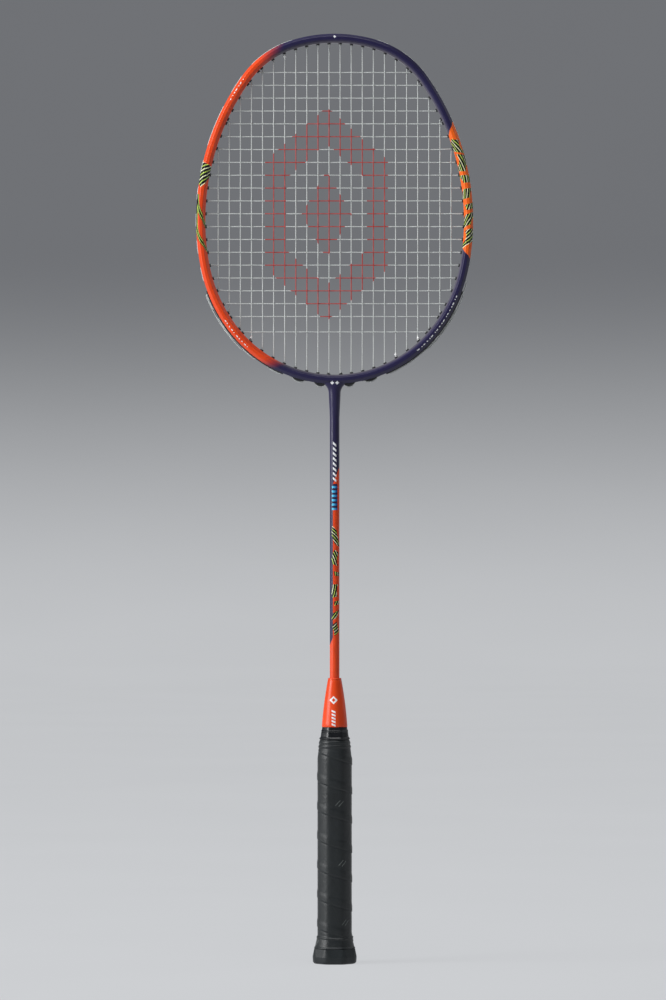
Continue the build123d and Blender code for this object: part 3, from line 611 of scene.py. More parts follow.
def head_tint(tree, place):
    """The head's paint: dark, its left side bright with soft ends, and on the right a patch with pointed
    ends. Fine black and lime stripes lie on both, every other lime stripe whitened as a painted highlight.
    The inner bevel carries a painted highlight."""
    colours, sizes, _ = settings()
    along, around, _ = add(tree, "SeparateXYZ", {0: add(tree, "UVMap", uv_map="paint")}).outputs
    x, _, z = add(tree, "SeparateXYZ", {0: place}).outputs
    right = add(tree, ("GREATER_THAN", x, 0.0))
    slanted = add(tree, leaning(along, around, 0.9))
    fade_in = add(tree, "MapRange", {0: slanted, 1: 0.044, 2: 0.070}, **SOFTLY)
    fade_out = add(tree, "MapRange", {0: slanted, 1: 0.303, 2: 0.319}, **SOFTLY)
    on_left = ("MULTIPLY", fade_in, ("SUBTRACT", 1.0, fade_out))
    patch_start = ("GREATER_THAN", ("ADD", along, around), 0.1222)
    patch_end = ("LESS_THAN", leaning(along, around, -0.8), 0.2018)
    on_patch = add(tree, all_of(patch_start, patch_end))
    # The inner bevel gets a greyer tone of the dark lacquer, a painted highlight along the tube's inner edge.
    inner_highlight_mask = add(tree, "MapRange", {0: around, 1: 0.0056, 2: 0.0034}, **SOFTLY)
    dark = layered(tree, colours.dark, (colours.painted_inner_highlight, inner_highlight_mask))

    # On the left one short group of stripes, which runs out in a point.
    field = stripe_field(along, around, 30, 0.150, 0.047, sizes.stripe_pitch * 1.1)
    started = ("GREATER_THAN", leaning(along, around, 0.25), 0.1440)
    pointed = ("LESS_THAN", leaning(along, ("ABSOLUTE", ("SUBTRACT", around, 0.0092)), 1.2), 0.1598)
    # Below it two thin bands curve from the outer edge over to the inner one, each a pair of lines on black.
    gaps = []
    for start, bow in LEFT_BANDS:
        away = ("MAXIMUM", ("SUBTRACT", along, start), 0.0)
        curve = ("MULTIPLY", ("MULTIPLY", away, away), bow)
        gaps.append(("ABSOLUTE", ("ADD", ("SUBTRACT", around, 0.0112), curve)))
    gap = add(tree, ("MINIMUM", *gaps))
    band = layered(tree, colours.stripe_black, (colours.stripe_lime, near(gap, 0.00082, 0.00021)))
    on_band = ("MULTIPLY", ("LESS_THAN", gap, 0.00155), windows(tree, along, ((0.1640, 0.2090),), HEAD_REACH))
    left_coats = (
        (colours.bright, on_left),
        (striped(tree, field, colours), all_of(pointed, started)),
        (band, on_band),
    )

    # On the right loose groups of different lengths; each group's ends follow the stripes' slant.
    field = stripe_field(along, around, 52, 0.122, 0.047, sizes.stripe_pitch * 0.93)
    lean = add(tree, "MapRange", {0: along, 1: 0.125, 2: 0.205, 3: 0.5, 4: -0.7})
    slanted = ("SUBTRACT", along, ("MULTIPLY", ("SUBTRACT", around, 0.0073), lean))
    groups = windows(tree, slanted, PATCH_GROUPS, HEAD_REACH)
    # The groups stay clear of a wavy border that swings across the tube, so orange shows beside them.
    clear = near(("SUBTRACT", around, swinging(along, 330.0, 0.0026)), 0.0074, 0.0042)
    right_coats = (
        (colours.patch, on_patch),
        (striped(tree, field, colours), all_of(groups, on_patch, clear)),
    )

    # Rows of short white dashes on the front and back faces.
    left_rows = windows(tree, along, ((0.074, 0.092), (0.258, 0.283)), HEAD_REACH)
    right_rows = windows(tree, along, ((0.238, 0.287),), HEAD_REACH)
    beat = repeated(along, 1 / 360, ("ADD", 0.45, swinging(along, 900.0, 0.25)))
    dashes = all_of(beat, near(around, 0.0083, 0.00030), layered(tree, left_rows, (right_rows, right)))
    # A small diamond at the tip and a pair of them over the shaft.
    tip_mark = ("LESS_THAN", diamond(x, z, 0.0, 0.6727), 0.0010)
    shaft_marks = ("LESS_THAN", diamond(("ABSOLUTE", x), z, 0.0018, 0.4216), 0.0014)
    return layered(
        tree,
        layered(tree, dark, *left_coats),
        (layered(tree, dark, *right_coats), right),
        (colours.mark, dashes),
        (colours.mark, ("MAXIMUM", tip_mark, shaft_marks)),
    )


def shaft_tint(tree, place):
    """The shaft's paint: dark above, bright below, with a dark strip left of the middle, fine stripes, and
    plain ticks and bars."""
    colours, sizes, _ = settings()
    x, y, z = add(tree, "SeparateXYZ", {0: place}).outputs
    around = add(tree, ("MULTIPLY", ("ARCTAN2", x, ("ABSOLUTE", y)), SHAFT_RADIUS))
    down = add(tree, ("SUBTRACT", 0.330, z))
    below_tip = ("LESS_THAN", z, leaning(0.3515, x, 2.7))
    beside_strip = ("MAXIMUM", ("GREATER_THAN", x, -0.00125), ("LESS_THAN", z, leaning(0.2397, x, 2.4)))

    field = stripe_field(down, around, 42, 0.018, 0.040, sizes.stripe_pitch * 0.9)
    lean = add(tree, "MapRange", {0: down, 1: 0.015, 2: 0.090, 3: 1.0, 4: -0.9})
    groups = windows(tree, ("SUBTRACT", down, ("MULTIPLY", around, lean)), SHAFT_GROUPS, SHAFT_REACH)
    # A group's stripes cover a part of the tube's width that swings from side to side.
    clear = near(("SUBTRACT", around, swinging(down, 290.0, 0.0012)), 0.0008, 0.0021)

    # Six blue bars on a dark block, and a row of slanting white ticks above it.
    block = add(tree, all_of(near(z, 0.3387, 0.0095), near(x, 0.0, 0.0020)))
    fade = add(tree, "MapRange", {0: x, 1: -0.0018, 2: 0.0016})
    blue = layered(tree, colours.bar_light, (colours.bar_deep, fade))
    # The row ends along the ticks' own slant, so that all eight are whole.
    slant = leaning(z, x, 0.9)
    ticks = all_of(repeated(slant, 0.00365, 0.5), near(x, 0.0, 0.00125), near(slant, 0.3650, 0.01455))
    return layered(
        tree,
        colours.dark,
        (colours.bright, all_of(below_tip, beside_strip)),
        (striped(tree, field, colours), all_of(clear, groups)),
        (colours.dark, block),
        (blue, all_of(repeated(("SUBTRACT", z, 0.3292), 0.00317, 0.5), block)),
        (colours.mark, ticks),
    )


def cone_tint(tree, place):
    """The cone's paint: bright all over, with a plain ring and slanting bars in white."""
    colours, _, _ = settings()
    x, _, z = add(tree, "SeparateXYZ", {0: place}).outputs
    aside = add(tree, ("ADD", x, 0.0008))
    distance = diamond(aside, z, 0.0, 0.1914)
    ring = all_of(("LESS_THAN", distance, 0.0030), ("GREATER_THAN", distance, 0.0014))
    slant = leaning(z, aside, 0.4)
    bars = all_of(repeated(slant, 0.0024, 0.55), near(aside, 0.0, 0.0014), near(slant, 0.1788, 0.00595))
    return layered(tree, colours.bright, (colours.mark, ("MAXIMUM", ring, bars)))


def string_nylon():
    """Multifilament nylon string with a clear outer: off-white, a little see-through, with a fine twist whose
    shimmer is painted as lighter and darker bands over a faint relief. A stencilled shape lies on the middle
    of the bed."""
    colours, _, _ = settings()
    material, tree, place = start_material("string multifilament nylon")
    x, _, z = add(tree, "SeparateXYZ", {0: place}).outputs
    # The stencil: a tall six-sided ring round a lozenge, with a slightly uneven edge.
    side = add(tree, ("ABSOLUTE", ("DIVIDE", ("ADD", x, 0.0059), 0.0447)))
    height = add(tree, ("ABSOLUTE", ("DIVIDE", ("SUBTRACT", z, 0.5439), 0.0780)))
    wobble = add(tree, "TexNoise", {"Vector": place, "Scale": 160.0, "Detail": 2.0})
    edge = ("MULTIPLY", ("SUBTRACT", wobble, 0.5), 0.05)
    ring = add(tree, ("ADD", ("MAXIMUM", side, ("ADD", ("MULTIPLY", side, 0.5), height)), edge))
    lozenge = ("ADD", ("ADD", ("MULTIPLY", side, 2.1), ("MULTIPLY", height, 2.1)), edge)
    on_ring = all_of(("LESS_THAN", ring, 1.0), ("GREATER_THAN", ring, 0.66))
    # Ink takes unevenly on the round strings.
    thin = add(tree, "MapRange", {0: wobble, 1: 0.3, 2: 0.6, 3: 0.88, 4: 1.0})
    ink = all_of(("MAXIMUM", on_ring, ("LESS_THAN", lozenge, 0.86)), thin)
    # The filaments' twist comes round every 1.8 mm along a string, coarser than it is, so that it shows: a
    # real relief, and its shimmer as a painted sheen.
    waves = {"Vector": place, "Scale": 350.0, "Distortion": 1.5}
    twist = add(tree, "TexWave", waves, wave_type="BANDS", bands_direction="DIAGONAL").outputs[1]
    # Painted sheen: the string's colour turns lighter and darker along the twist's bands.
    shade = add(tree, "MapRange", {0: twist, 3: 0.86, 4: 1.06})
    plain = add(tree, "HueSaturation", {"Value": shade, "Color": colours.string})
    # Nylon whitens where it is pulled tight and bent, so the four knots are paler.
    nearest = 1.0
    for knot_x, knot_z in KNOTS:
        away = add(tree, "VectorMath", {0: place, 1: (knot_x, 0.0, knot_z)}, operation="DISTANCE")
        nearest = ("MINIMUM", away.outputs["Value"], nearest)
    on_knot = ("LESS_THAN", nearest, 0.0016)
    return surface(
        material,
        (twist, 0.3, 0.00004),
        Base_Color=layered(tree, plain, (colours.stencil, ink), (colours.knot, on_knot)),
        Roughness=0.4,
        IOR=1.53,
        Specular_IOR_Level=0.35,
    )


def moulded_plastic(name, tint, grain, depth, roughness):
    """Injection moulded plastic with a spark-eroded grain: an even colour, satin, the grain true to size."""
    material, tree, place = start_material(name)
    cloud = add(tree, "TexNoise", {"Vector": place, "Scale": 60.0, "Detail": 3.0})
    worn = {0: cloud, **CLOUD_SPAN, 3: roughness - 0.06, 4: roughness + 0.08}
    pits = add(tree, "TexNoise", {"Vector": place, "Scale": 1 / grain, "Detail": 4.0, "Roughness": 0.6})
    return surface(
        material,
        (pits, 0.5, depth),
        Base_Color=uneven(tree, tint, cloud, 0.88, 1.12),
        Roughness=add(tree, "MapRange", worn),
        IOR=1.5,
        Specular_IOR_Level=0.35,
    )


def grip_polyurethane():
    """Wound polyurethane grip: charcoal, dull with a soft sheen where light grazes it, finely pored, with
    small embossed marks in rows along the strip. Its UV map gives metres along the strip and across it."""
    colours, _, _ = settings()
    material, tree, place = start_material("grip polyurethane")
    along, across, _ = add(tree, "SeparateXYZ", {0: add(tree, "UVMap", uv_map="strip")}).outputs
    z = add(tree, "SeparateXYZ", {0: place}).outputs[2]
    cloud = add(tree, "TexNoise", {"Vector": place, "Scale": 70.0, "Detail": 4.0, "Roughness": 0.6})
    # Two slanting ticks, then a long gap, over and over along the strip.
    middle, pitch = 0.0112, 0.0542
    cell = ("SUBTRACT", ("MULTIPLY", ("FRACT", ("DIVIDE", ("ADD", along, 0.0095), pitch)), pitch), 0.0270)
    slanted = ("SUBTRACT", cell, ("MULTIPLY", ("SUBTRACT", across, middle), 0.8))
    on_tick = near(("ABSOLUTE", slanted), 0.0013, 0.00022)
    ticks = add(tree, all_of(on_tick, ("LESS_THAN", z, 0.1500), near(across, middle, 0.0024)))
    # Pores half a millimetre apart, over shallow creases a few millimetres long.
    pores = add(tree, "TexVoronoi", {"Vector": place, "Scale": 1900.0}, feature="SMOOTH_F1")
    creases = add(tree, "TexNoise", {"Vector": place, "Scale": 240.0, "Detail": 5.0, "Distortion": 1.2})
    height = ("SUBTRACT", ("ADD", ("MULTIPLY", pores, 0.25), creases), ("MULTIPLY", ticks, 0.5))
    ground = uneven(tree, colours.grip, cloud, 0.82, 1.2)
    return surface(
        material,
        (height, 0.7, 0.00028),
        Base_Color=layered(tree, ground, (colours.grip_mark, ("MULTIPLY", ticks, cloud))),
        Roughness=add(tree, "MapRange", {0: cloud, **CLOUD_SPAN, 3: 0.38, 4: 0.54}),
        IOR=1.5,
        Specular_IOR_Level=0.42,
        Sheen_Weight=0.15,
        Sheen_Roughness=0.4,
    )


def tape_vinyl():
    """Stretched self-adhesive vinyl tape: black and glossy, with faint stretch lines round the handle."""
    colours, _, _ = settings()
    material, tree, place = start_material("finishing tape vinyl")
    flat = add(tree, "Mapping", {"Vector": place, "Scale": (0.15, 0.15, 1.0)})
    lines = add(tree, "TexNoise", {"Vector": flat, "Scale": 1100.0, "Detail": 3.0})
    return surface(
        material,
        (lines, 0.35, 0.00004),
        Base_Color=uneven(tree, colours.tape, lines, 0.8, 1.25),
        Roughness=add(tree, "MapRange", {0: lines, **CLOUD_SPAN, 3: 0.22, 4: 0.38}),
        IOR=1.53,
        Specular_IOR_Level=0.4,
    )


def zinc_plated_steel():
    """Zinc plated steel wire: a satin grey metal, finely mottled by its plating."""
    material, tree, place = start_material("staple zinc plated steel")
    mottle = add(tree, "TexNoise", {"Vector": place, "Scale": 2500.0, "Detail": 3.0})
    stops = ((0.0, linear("#8E9194")), (1.0, linear("#C2C5C8")))
    tint = set_stops(add(tree, "ValToRGB", {0: mottle}), stops, "LINEAR")
    return surface(material, (mottle, 0.3, 0.00003), Base_Color=tint, Metallic=1.0, Roughness=0.32)


def handle_wood():
    """Planed softwood under the grip: pale, with growth rings 2 mm apart drawn out along the handle."""
    material, tree, place = start_material("handle planed wood")
    drawn = add(tree, "Mapping", {"Vector": place, "Scale": (1.0, 1.0, 0.06)})
    waves = {"Vector": drawn, "Scale": 160.0, "Distortion": 3.0, "Detail": 3.0}
    rings = add(tree, "TexWave", waves).outputs[1]
    stops = ((0.0, linear("#B98E5E")), (1.0, linear("#DDBD8E")))
    tint = set_stops(add(tree, "ValToRGB", {0: rings}), stops, "LINEAR")
    return surface(material, (rings, 0.3, 0.0001), Base_Color=tint, Roughness=0.62, IOR=1.5)


def badge_plastic():
    """Printed plastic disc in the butt: dark and glossy, blank but for a thin pale ring near its rim."""
    colours, _, _ = settings()
    material, tree, place = start_material("badge printed plastic")
    x, y, _ = add(tree, "SeparateXYZ", {0: place}).outputs
    cloud = add(tree, "TexNoise", {"Vector": place, "Scale": 300.0, "Detail": 2.0})
    ring = near(("SQRT", ("ADD", ("MULTIPLY", x, x), ("MULTIPLY", y, y))), 0.0082, 0.0003)
    ground = uneven(tree, colours.dark, cloud, 0.85, 1.15)
    tint = layered(tree, ground, (colours.mark, ring))
    relief = (cloud, 0.2, 0.00002)
    return surface(material, relief, Base_Color=tint, Roughness=0.22, IOR=1.49, Coat_Weight=0.4)


def matt_paper(stage):
    """Matt paper with faint fibres, pale on the floor and darker up the backdrop. Seen directly or in a
    reflection it is nearly even; it keeps some of its own light for the shadow."""
    material, tree, place = start_material("stage matt paper")
    height = add(tree, "SeparateXYZ", {0: place}).outputs[2]
    rise = add(tree, "MapRange", {0: height, 1: 0.0, 2: 0.9}, **SOFTLY)
    fibres = add(tree, "TexNoise", {"Vector": place, "Scale": 3.0, "Detail": 2.0})
    tint = uneven(tree, layered(tree, stage.floor, (stage.backdrop, rise)), fibres, 0.985, 1.0)
    lit = add(tree, "BsdfPrincipled", {"Base Color": tint, "Roughness": 0.9, "Specular IOR Level": 0.0})
    even = add(tree, "Emission", {"Color": tint, "Strength": 1.0})
    mix = add(tree, "MixShader", {0: ("MULTIPLY", seen_directly(tree), 0.86), 1: lit, 2: even})
    add(tree, "OutputMaterial", {"Surface": mix})
    return material


# ---------------------------------------------------------------- shapes round the handle
def handle_size(z):
    """(width, depth, bevel) of the bare handle at a height."""
    z = min(max(z, HANDLE_STATIONS[0][0]), HANDLE_STATIONS[-1][0])
    for low, high in zip(HANDLE_STATIONS, HANDLE_STATIONS[1:]):
        if z <= high[0]:
            share = (z - low[0]) / (high[0] - low[0])
            return [a + (b - a) * share for a, b in zip(low[1:], high[1:])]


def handle_radius(z, angle, growth, sharpness):
    """From the axis to the surface of the eight-sided handle, its sides moved out by growth. The higher the
    sharpness, the tighter the corners."""
    width, depth, bevel = handle_size(z)
    sides = (width / 2 + growth, depth / 2 + growth, ((width + depth) / 2 - bevel) / 2**0.5 + growth)
    across, ahead = cos(angle), sin(angle)
    slant = (abs(across) + abs(ahead)) / 2**0.5
    terms = (abs(across) / sides[0], abs(ahead) / sides[1], slant / sides[2])
    return sum(t**sharpness for t in terms) ** (-1 / sharpness)


def strip_place(z, angle, pitch):
    """How far above the lower edge of its turn a point of the wound grip lies. The edges fall towards +X on
    the front."""
    return (z + pitch * ((angle + pi / 2) / (2 * pi))) % pitch


def ridge(away):
    """1 on a line and 0 from a millimetre away, for folds and rolled edges."""
    return 1 - ease(0.0, 0.0010, abs(away))


def lathe(name, vertices, stations):
    """A skin swept up the Z axis through (height, half width, half depth) stations. Where the last station is
    the first one again, it closes."""
    bpy.ops.object.select_all(action="DESELECT")
    bpy.ops.mesh.primitive_circle_add(vertices=vertices, radius=1.0, location=(0, 0, 0))
    obj = bpy.context.object
    obj.name = obj.data.name = name
    edit(obj)
    z, width, depth = stations[0]
    bpy.ops.transform.resize(value=(width, depth, 1.0), center_override=(0, 0, 0))
    bpy.ops.transform.translate(value=(0, 0, z))
    for (below, last_width, last_depth), (z, width, depth) in zip(stations, stations[1:]):
        growth = (width / last_width, depth / last_depth, 1.0)
        bpy.ops.mesh.extrude_region_move(TRANSFORM_OT_translate={"value": (0, 0, z - below)})
        bpy.ops.transform.resize(value=growth, center_override=(0, 0, z))
    bpy.ops.mesh.select_all(action="SELECT")
    bpy.ops.mesh.remove_doubles(threshold=1e-6)
    bpy.ops.mesh.normals_make_consistent(inside=False)
    bpy.ops.object.mode_set(mode="OBJECT")
    return obj


def rolled_sheet(name, columns, rows, bottom, top, radius, wall):
    """A sheet rolled round the handle's axis between two heights, with a wall inwards; radius(z, angle) gives
    its outer surface."""
    bpy.ops.object.select_all(action="DESELECT")
    bpy.ops.mesh.primitive_grid_add(x_subdivisions=columns, y_subdivisions=rows, size=2)
    obj = bpy.context.object
    obj.name = obj.data.name = name
    for vertex in obj.data.vertices:
        angle = pi * vertex.co.x
        z = bottom + (top - bottom) * (vertex.co.y + 1) / 2
        reach = radius(z, angle)
        vertex.co = (reach * cos(angle), reach * sin(angle), z)
    edit(obj)
    bpy.ops.mesh.remove_doubles(threshold=1e-6)
    bpy.ops.object.mode_set(mode="OBJECT")
    modifier = obj.modifiers.new("wall", "SOLIDIFY")
    modifier.thickness = wall
    modifier.offset = -1
    bpy.ops.object.modifier_apply(modifier=modifier.name)
    return obj


# ---------------------------------------------------------------- one operator for each group of pieces
class RACKET_OT_head(bpy.types.Operator):
    """Paint the carbon head: dark lacquer, bright left side and striped patch"""

    bl_idname = "racket.head"
    bl_label = "Head frame"

    def execute(self, context):
        obj = copy_of_solid("head_frame", "head_lacquered")
        blend_stem(obj)
        map_head(obj)
        smooth(obj, 38, weighted=True)
        dress(obj, lacquer("head sprayed lacquer", head_tint), "head_frame")
        return {"FINISHED"}


class RACKET_OT_shaft(bpy.types.Operator):
    """Paint the carbon shaft"""

    bl_idname = "racket.shaft"
    bl_label = "Shaft"

    def execute(self, context):
        coat_node("shaft", lacquer("shaft sprayed lacquer", shaft_tint))
        return {"FINISHED"}


class RACKET_OT_cone(bpy.types.Operator):
    """Model and paint the hollow cone between the shaft and the handle, with its beaded upper rim"""

    bl_idname = "racket.cone"
    bl_label = "Cone"

    def execute(self, context):
        _, sizes, _ = settings()
        low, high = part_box("cone")
        halves = ((high[0] - low[0]) / 2, (high[1] - low[1]) / 2)
        top_radius, bow, edge, rows = 0.0047, 0.00055, 0.0006, 18
        body_top = CONE_TOP - 0.0016
        stations = [(CONE_BOTTOM, *(half - edge for half in halves))]
        for turn in (pi / 6, pi / 3, pi / 2):
            z = CONE_BOTTOM + edge * (1 - cos(turn))
            stations.append((z, *(half - edge * (1 - sin(turn)) for half in halves)))
        for row in range(1, rows + 1):
            z = CONE_BOTTOM + edge + (body_top - CONE_BOTTOM - edge) * (row / rows)
            part = (z - CONE_BOTTOM) / (CONE_TOP - CONE_BOTTOM)
            swell = 4 * bow * part * (1 - part)
            stations.append((z, *(half + (top_radius - half) * part + swell for half in halves)))
        # From here on it is round: a groove, the bead above it, the hole for the shaft, and the hollow below.
        groove = stations[-1][1] - 0.00012
        bead = top_radius + sizes.cone_lip
        hole = SHAFT_RADIUS + 0.00008
        hollow = 0.00625
        rounds = (
            (body_top + 0.00015, groove),
            (body_top + 0.0003, bead - 0.0002),
            (body_top + 0.0005, bead),
            (body_top + 0.0011, bead),
            (body_top + 0.0014, bead - 0.00015),
            (body_top + 0.0016, bead - 0.0005),
            (CONE_TOP, hole + 0.0003),
            (CONE_TOP - 0.0003, hole),
            (CONE_BOTTOM + 0.0250, hole),
            (CONE_BOTTOM + 0.0150, hollow),
            (CONE_BOTTOM, hollow),
        )
        stations += [(z, radius, radius) for z, radius in rounds]
        obj = lathe("cone_cap", 96, [*stations, stations[0]])
        smooth(obj, 40)
        dress(obj, lacquer("cone sprayed lacquer", cone_tint), "cone")
        return {"FINISHED"}


class RACKET_OT_strings(bpy.types.Operator):
    """Weave the main and the cross string"""

    bl_idname = "racket.strings"
    bl_label = "Strings"

    def execute(self, context):
        _, sizes, _ = settings()
        nylon = string_nylon()
        strings = (("main_string", "mains_woven", True), ("cross_string", "crosses_woven", False))
        for node, name, is_main in strings:
            obj = copy_of_solid(node, name)
            cut_strings(obj, is_main)
            weave(obj, is_main, sizes.weave, sizes.weave_margin)
            tighten_knots(obj)
            if is_main:
                swell_pads(obj)
            smooth(obj, 50)
            dress(obj, nylon, node)
        return {"FINISHED"}


class RACKET_OT_grommets(bpy.types.Operator):
    """Finish the grommet strips and the T joint inside the throat"""

    bl_idname = "racket.grommets"
    bl_label = "Grommets and T joint"

    def execute(self, context):
        colours, _, _ = settings()
        nylon = moulded_plastic("grommet moulded nylon", colours.grommet, 0.0004, 0.00003, 0.42)
        joint = moulded_plastic("joint glass filled nylon", colours.joint, 0.0006, 0.00005, 0.5)
        for node in sorted(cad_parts):
            if node.startswith("grommets_throat"):
                obj = copy_of_solid(node, node.replace("grommets", "humps"))
                swell_pads(obj)
                smooth(obj, 50)
                dress(obj, nylon, node)
            elif node.startswith("grommets"):
                coat_node(node, nylon)
        coat_node("t_joint", joint)
        return {"FINISHED"}


class RACKET_OT_grip(bpy.types.Operator):
    """Wind the grip round the handle"""

    bl_idname = "racket.grip"
    bl_label = "Wound grip"

    def execute(self, context):
        _, sizes, _ = settings()
        bottom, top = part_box("base_grip")[0][2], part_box("base_grip")[1][2]
        pitch, step, overlap = sizes.grip_pitch, sizes.grip_step, sizes.grip_overlap
        wraps_start = top - 0.0070
        fold_height, wrap_pitch = 0.0188, 0.0029

        def radius(z, angle):
            place = strip_place(z, angle, pitch)
            raised = step * (ease(0.0, 0.0007, place) * (1 - ease(overlap, overlap + 0.003, place)))
            sunk = 0.00016 * (ease(pitch - 0.0012, pitch, place) + 1 - ease(0.0, 0.0006, place))
            winding = 1 - ease(wraps_start - 0.002, wraps_start, z)
            foot = ease(bottom, bottom + 0.002, z)
            # Above the last turn the strip's narrow end is wound round several times.
            wave = abs(sin(pi * (z - wraps_start) / wrap_pitch + 0.3 * sin(angle)))
            turns = 0.00048 * wave * ease(wraps_start, wraps_start + 0.001, z)
            # The grip is stretched over the flare: a fold where it starts, and a lip at its lower end.
            fold = 0.00050 * ridge(z - fold_height - 0.0006 * sin(angle * 2 + 1.0))
            lip = 0.00050 * ridge(z - bottom - 0.0008)
            tucked = 0.0006 * ease(top - 0.0010, top - 0.0005, z)
            edges = (raised - sunk) * winding * foot
            growth = sizes.grip_thickness - 0.0001 + edges + turns + fold + lip - tucked
            # The eight sides soften where the grip runs out over the round cap.
            sharpness = 12 - 2 * ease(0.146, top, z) - 3 * (1 - ease(bottom, bottom + 0.008, z))
            return handle_radius(z, angle, growth, sharpness)

        obj = rolled_sheet("grip_wound", 96, sizes.grip_rows, bottom, top, radius, 0.0009)
        layer = obj.data.uv_layers[0]
        layer.name = "strip"
        for polygon in obj.data.polygons:
            middle = atan2(polygon.center[1], polygon.center[0])
            turn = floor(polygon.center[2] / pitch + (middle + pi / 2) / (2 * pi))
            for index in polygon.loop_indices:
                x, y, z = obj.data.vertices[obj.data.loops[index].vertex_index].co
                angle = middle + (atan2(y, x) - middle + pi) % (2 * pi) - pi
                climb = z / pitch + (angle + pi / 2) / (2 * pi)
                layer.data[index].uv = (ROUND_LENGTH * (angle / (2 * pi) - turn), (climb - turn) * pitch)
        smooth(obj, 60)
        dress(obj, grip_polyurethane(), "base_grip")
        return {"FINISHED"}


class RACKET_OT_tape(bpy.types.Operator):
    """Wrap the finishing tape over the grip's upper end, in two turns"""

    bl_idname = "racket.tape"
    bl_label = "Finishing tape"

    def execute(self, context):
        _, sizes, _ = settings()
        bottom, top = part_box("finishing_tape")[0][2] - 0.0005, CONE_BOTTOM
        thickness, edge = sizes.tape_thickness, sizes.tape_edge

        def radius(z, angle):
            seam = bottom + 0.0056 + 0.00025 * sin(angle + 0.6)
            over_grip = 0.0004 * (1 - ease(bottom + 0.0008, bottom + 0.0022, z))
            upper_turn = 0.00025 * ease(seam - 0.0001, seam + 0.0002, z)
            rolls = edge * ridge(z - bottom - 0.0008) + edge * ridge(z - seam - 0.0008)
            end = 0.0003 * (1 - ease(0.0, 0.0003, z - bottom))
            return handle_radius(z, angle, thickness + over_grip - upper_turn + rolls - end, 20)

        obj = rolled_sheet("tape_wrapped", 112, 84, bottom, top, radius, 0.0004)
        smooth(obj, 60)
        dress(obj, tape_vinyl(), "finishing_tape")
        return {"FINISHED"}


class RACKET_OT_butt(bpy.types.Operator):
    """Finish the butt cap, its badge and staples, and the wooden handle under the grip"""

    bl_idname = "racket.butt"
    bl_label = "Butt and handle core"

    def execute(self, context):
        colours, _, _ = settings()
        cap = moulded_plastic("butt cap moulded polyurethane", colours.cap, 0.0007, 0.00006, 0.42)
        coat_node("butt_cap", cap)
        coat_node("butt_badge", badge_plastic())
        coat_node("butt_staples", zinc_plated_steel())
        coat_node("handle_core", handle_wood())
        return {"FINISHED"}


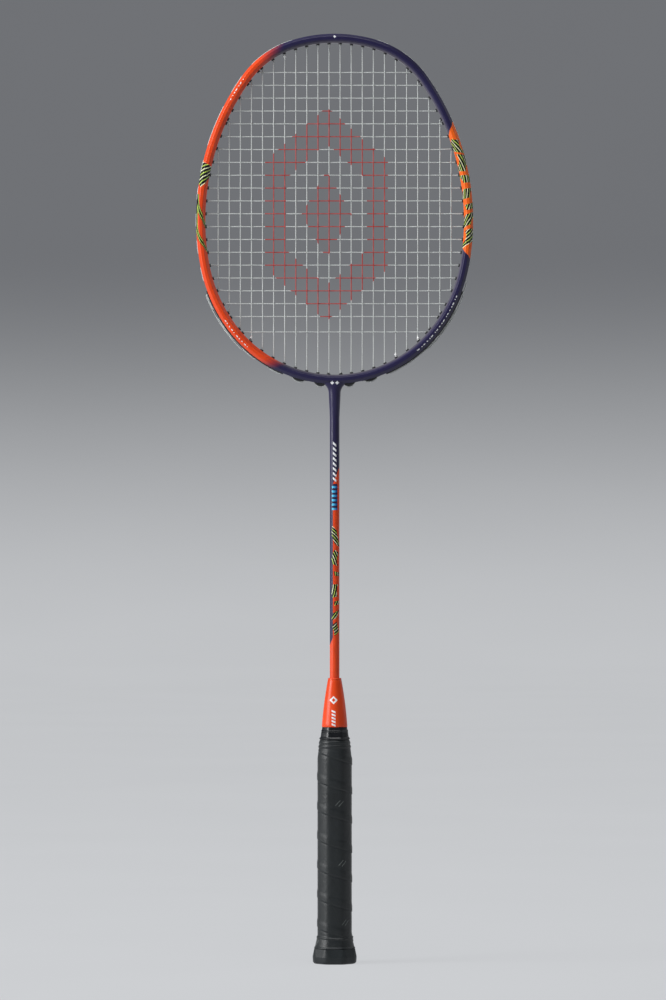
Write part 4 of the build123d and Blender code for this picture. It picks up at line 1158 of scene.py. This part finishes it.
class RACKET_OT_stage(bpy.types.Operator):
    """Set up the floor, the backdrop, the lamps and the camera"""

    bl_idname = "racket.stage"
    bl_label = "Stage"

    def execute(self, context):
        scene = context.scene
        _, _, stage = settings()
        # A floor that curves up into a round backdrop, so no edge shows from any side.
        flat, bend, wall = 6.0, 3.0, 7.0
        stations = [(0.0, reach, reach) for reach in (0.001, 0.5, 2.0, flat)]
        for turn in (pi / 24 * i for i in range(1, 12)):
            reach = flat + bend * sin(turn)
            stations.append((bend - bend * cos(turn), reach, reach))
        stations += [(z, flat + bend, flat + bend) for z in (bend, wall)]
        floor_sheet = lathe("floor", 128, stations)
        smooth(floor_sheet, 60)
        floor_sheet.data.materials.append(matt_paper(stage))

        middle = (0.0, 0.0, 0.36)
        lamps = (
            ("key box", (-2.78, -1.16, 1.42), (1.65, 2.6), stage.key_power),
            ("top box", (0.0, -0.7, 3.0), (1.8, 1.8), stage.top_power),
            ("back box", (2.3, 1.1, 1.3), (1.1, 2.0), stage.back_power),
        )
        for name, place, size, watts in lamps:
            lamp = bpy.data.lights.new(name, "AREA")
            lamp.shape = "RECTANGLE"
            lamp.size, lamp.size_y = size
            lamp.energy = watts
            holder = bpy.data.objects.new(name, lamp)
            scene.collection.objects.link(holder)
            holder.location = place
            x, y, z = (b - a for a, b in zip(place, middle))
            holder.rotation_euler = (atan2(hypot(x, y), -z), 0, atan2(-x, y))

        world = bpy.data.worlds.new("even light")
        world.use_nodes = True
        tree = world.node_tree
        tree.nodes.clear()
        even = add(tree, "Background", {"Color": (0.95, 0.97, 1.0, 1.0), "Strength": stage.sky})
        pale = add(tree, "Background", {"Color": stage.backdrop, "Strength": 1.0})
        mix = add(tree, "MixShader", {0: seen_directly(tree), 1: even, 2: pale})
        add(tree, "OutputWorld", {"Surface": mix})
        scene.world = world

        camera = bpy.data.cameras.new("camera")
        camera.type = "PERSP"
        camera.sensor_fit = "VERTICAL"
        camera.sensor_height = 24.0
        camera.lens = camera.sensor_height * stage.camera_distance / stage.view_height
        camera.clip_end = 100.0
        holder = bpy.data.objects.new("camera", camera)
        scene.collection.objects.link(holder)
        holder.location = (stage.view_x, -stage.camera_distance, stage.view_z)
        holder.rotation_euler = (pi / 2, 0, 0)
        scene.camera = holder
        scene.view_settings.view_transform = "Standard"
        return {"FINISHED"}


OPERATORS = (
    RACKET_OT_head,
    RACKET_OT_shaft,
    RACKET_OT_cone,
    RACKET_OT_strings,
    RACKET_OT_grommets,
    RACKET_OT_grip,
    RACKET_OT_tape,
    RACKET_OT_butt,
    RACKET_OT_stage,
)


class RACKET_PT_panel(bpy.types.Panel):
    """The racket's pieces and settings"""

    bl_label = "Badminton racket"
    bl_idname = "RACKET_PT_panel"
    bl_space_type = "VIEW_3D"
    bl_region_type = "UI"
    bl_category = "Racket"

    def draw(self, context):
        column = self.layout.column(align=True)
        for operator in OPERATORS:
            column.operator(operator.bl_idname)
        for group in settings():
            box = self.layout.box()
            for name in group.__annotations__:
                box.prop(group, name)


GROUPS = {
    "racket_colours": RACKET_PG_colours,
    "racket_sizes": RACKET_PG_sizes,
    "racket_stage": RACKET_PG_stage,
}


def register():
    for cls in (*GROUPS.values(), *OPERATORS, RACKET_PT_panel):
        bpy.utils.register_class(cls)
    for name, group in GROUPS.items():
        setattr(bpy.types.Scene, name, PointerProperty(type=group))


def unregister():
    for name in GROUPS:
        delattr(bpy.types.Scene, name)
    for cls in (RACKET_PT_panel, *reversed(OPERATORS), *reversed(tuple(GROUPS.values()))):
        bpy.utils.unregister_class(cls)


def main():
    register()
    for operator in OPERATORS:
        group, name = operator.bl_idname.split(".")
        getattr(getattr(bpy.ops, group), name)()
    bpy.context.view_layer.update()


if __name__ == "__main__":
    main()
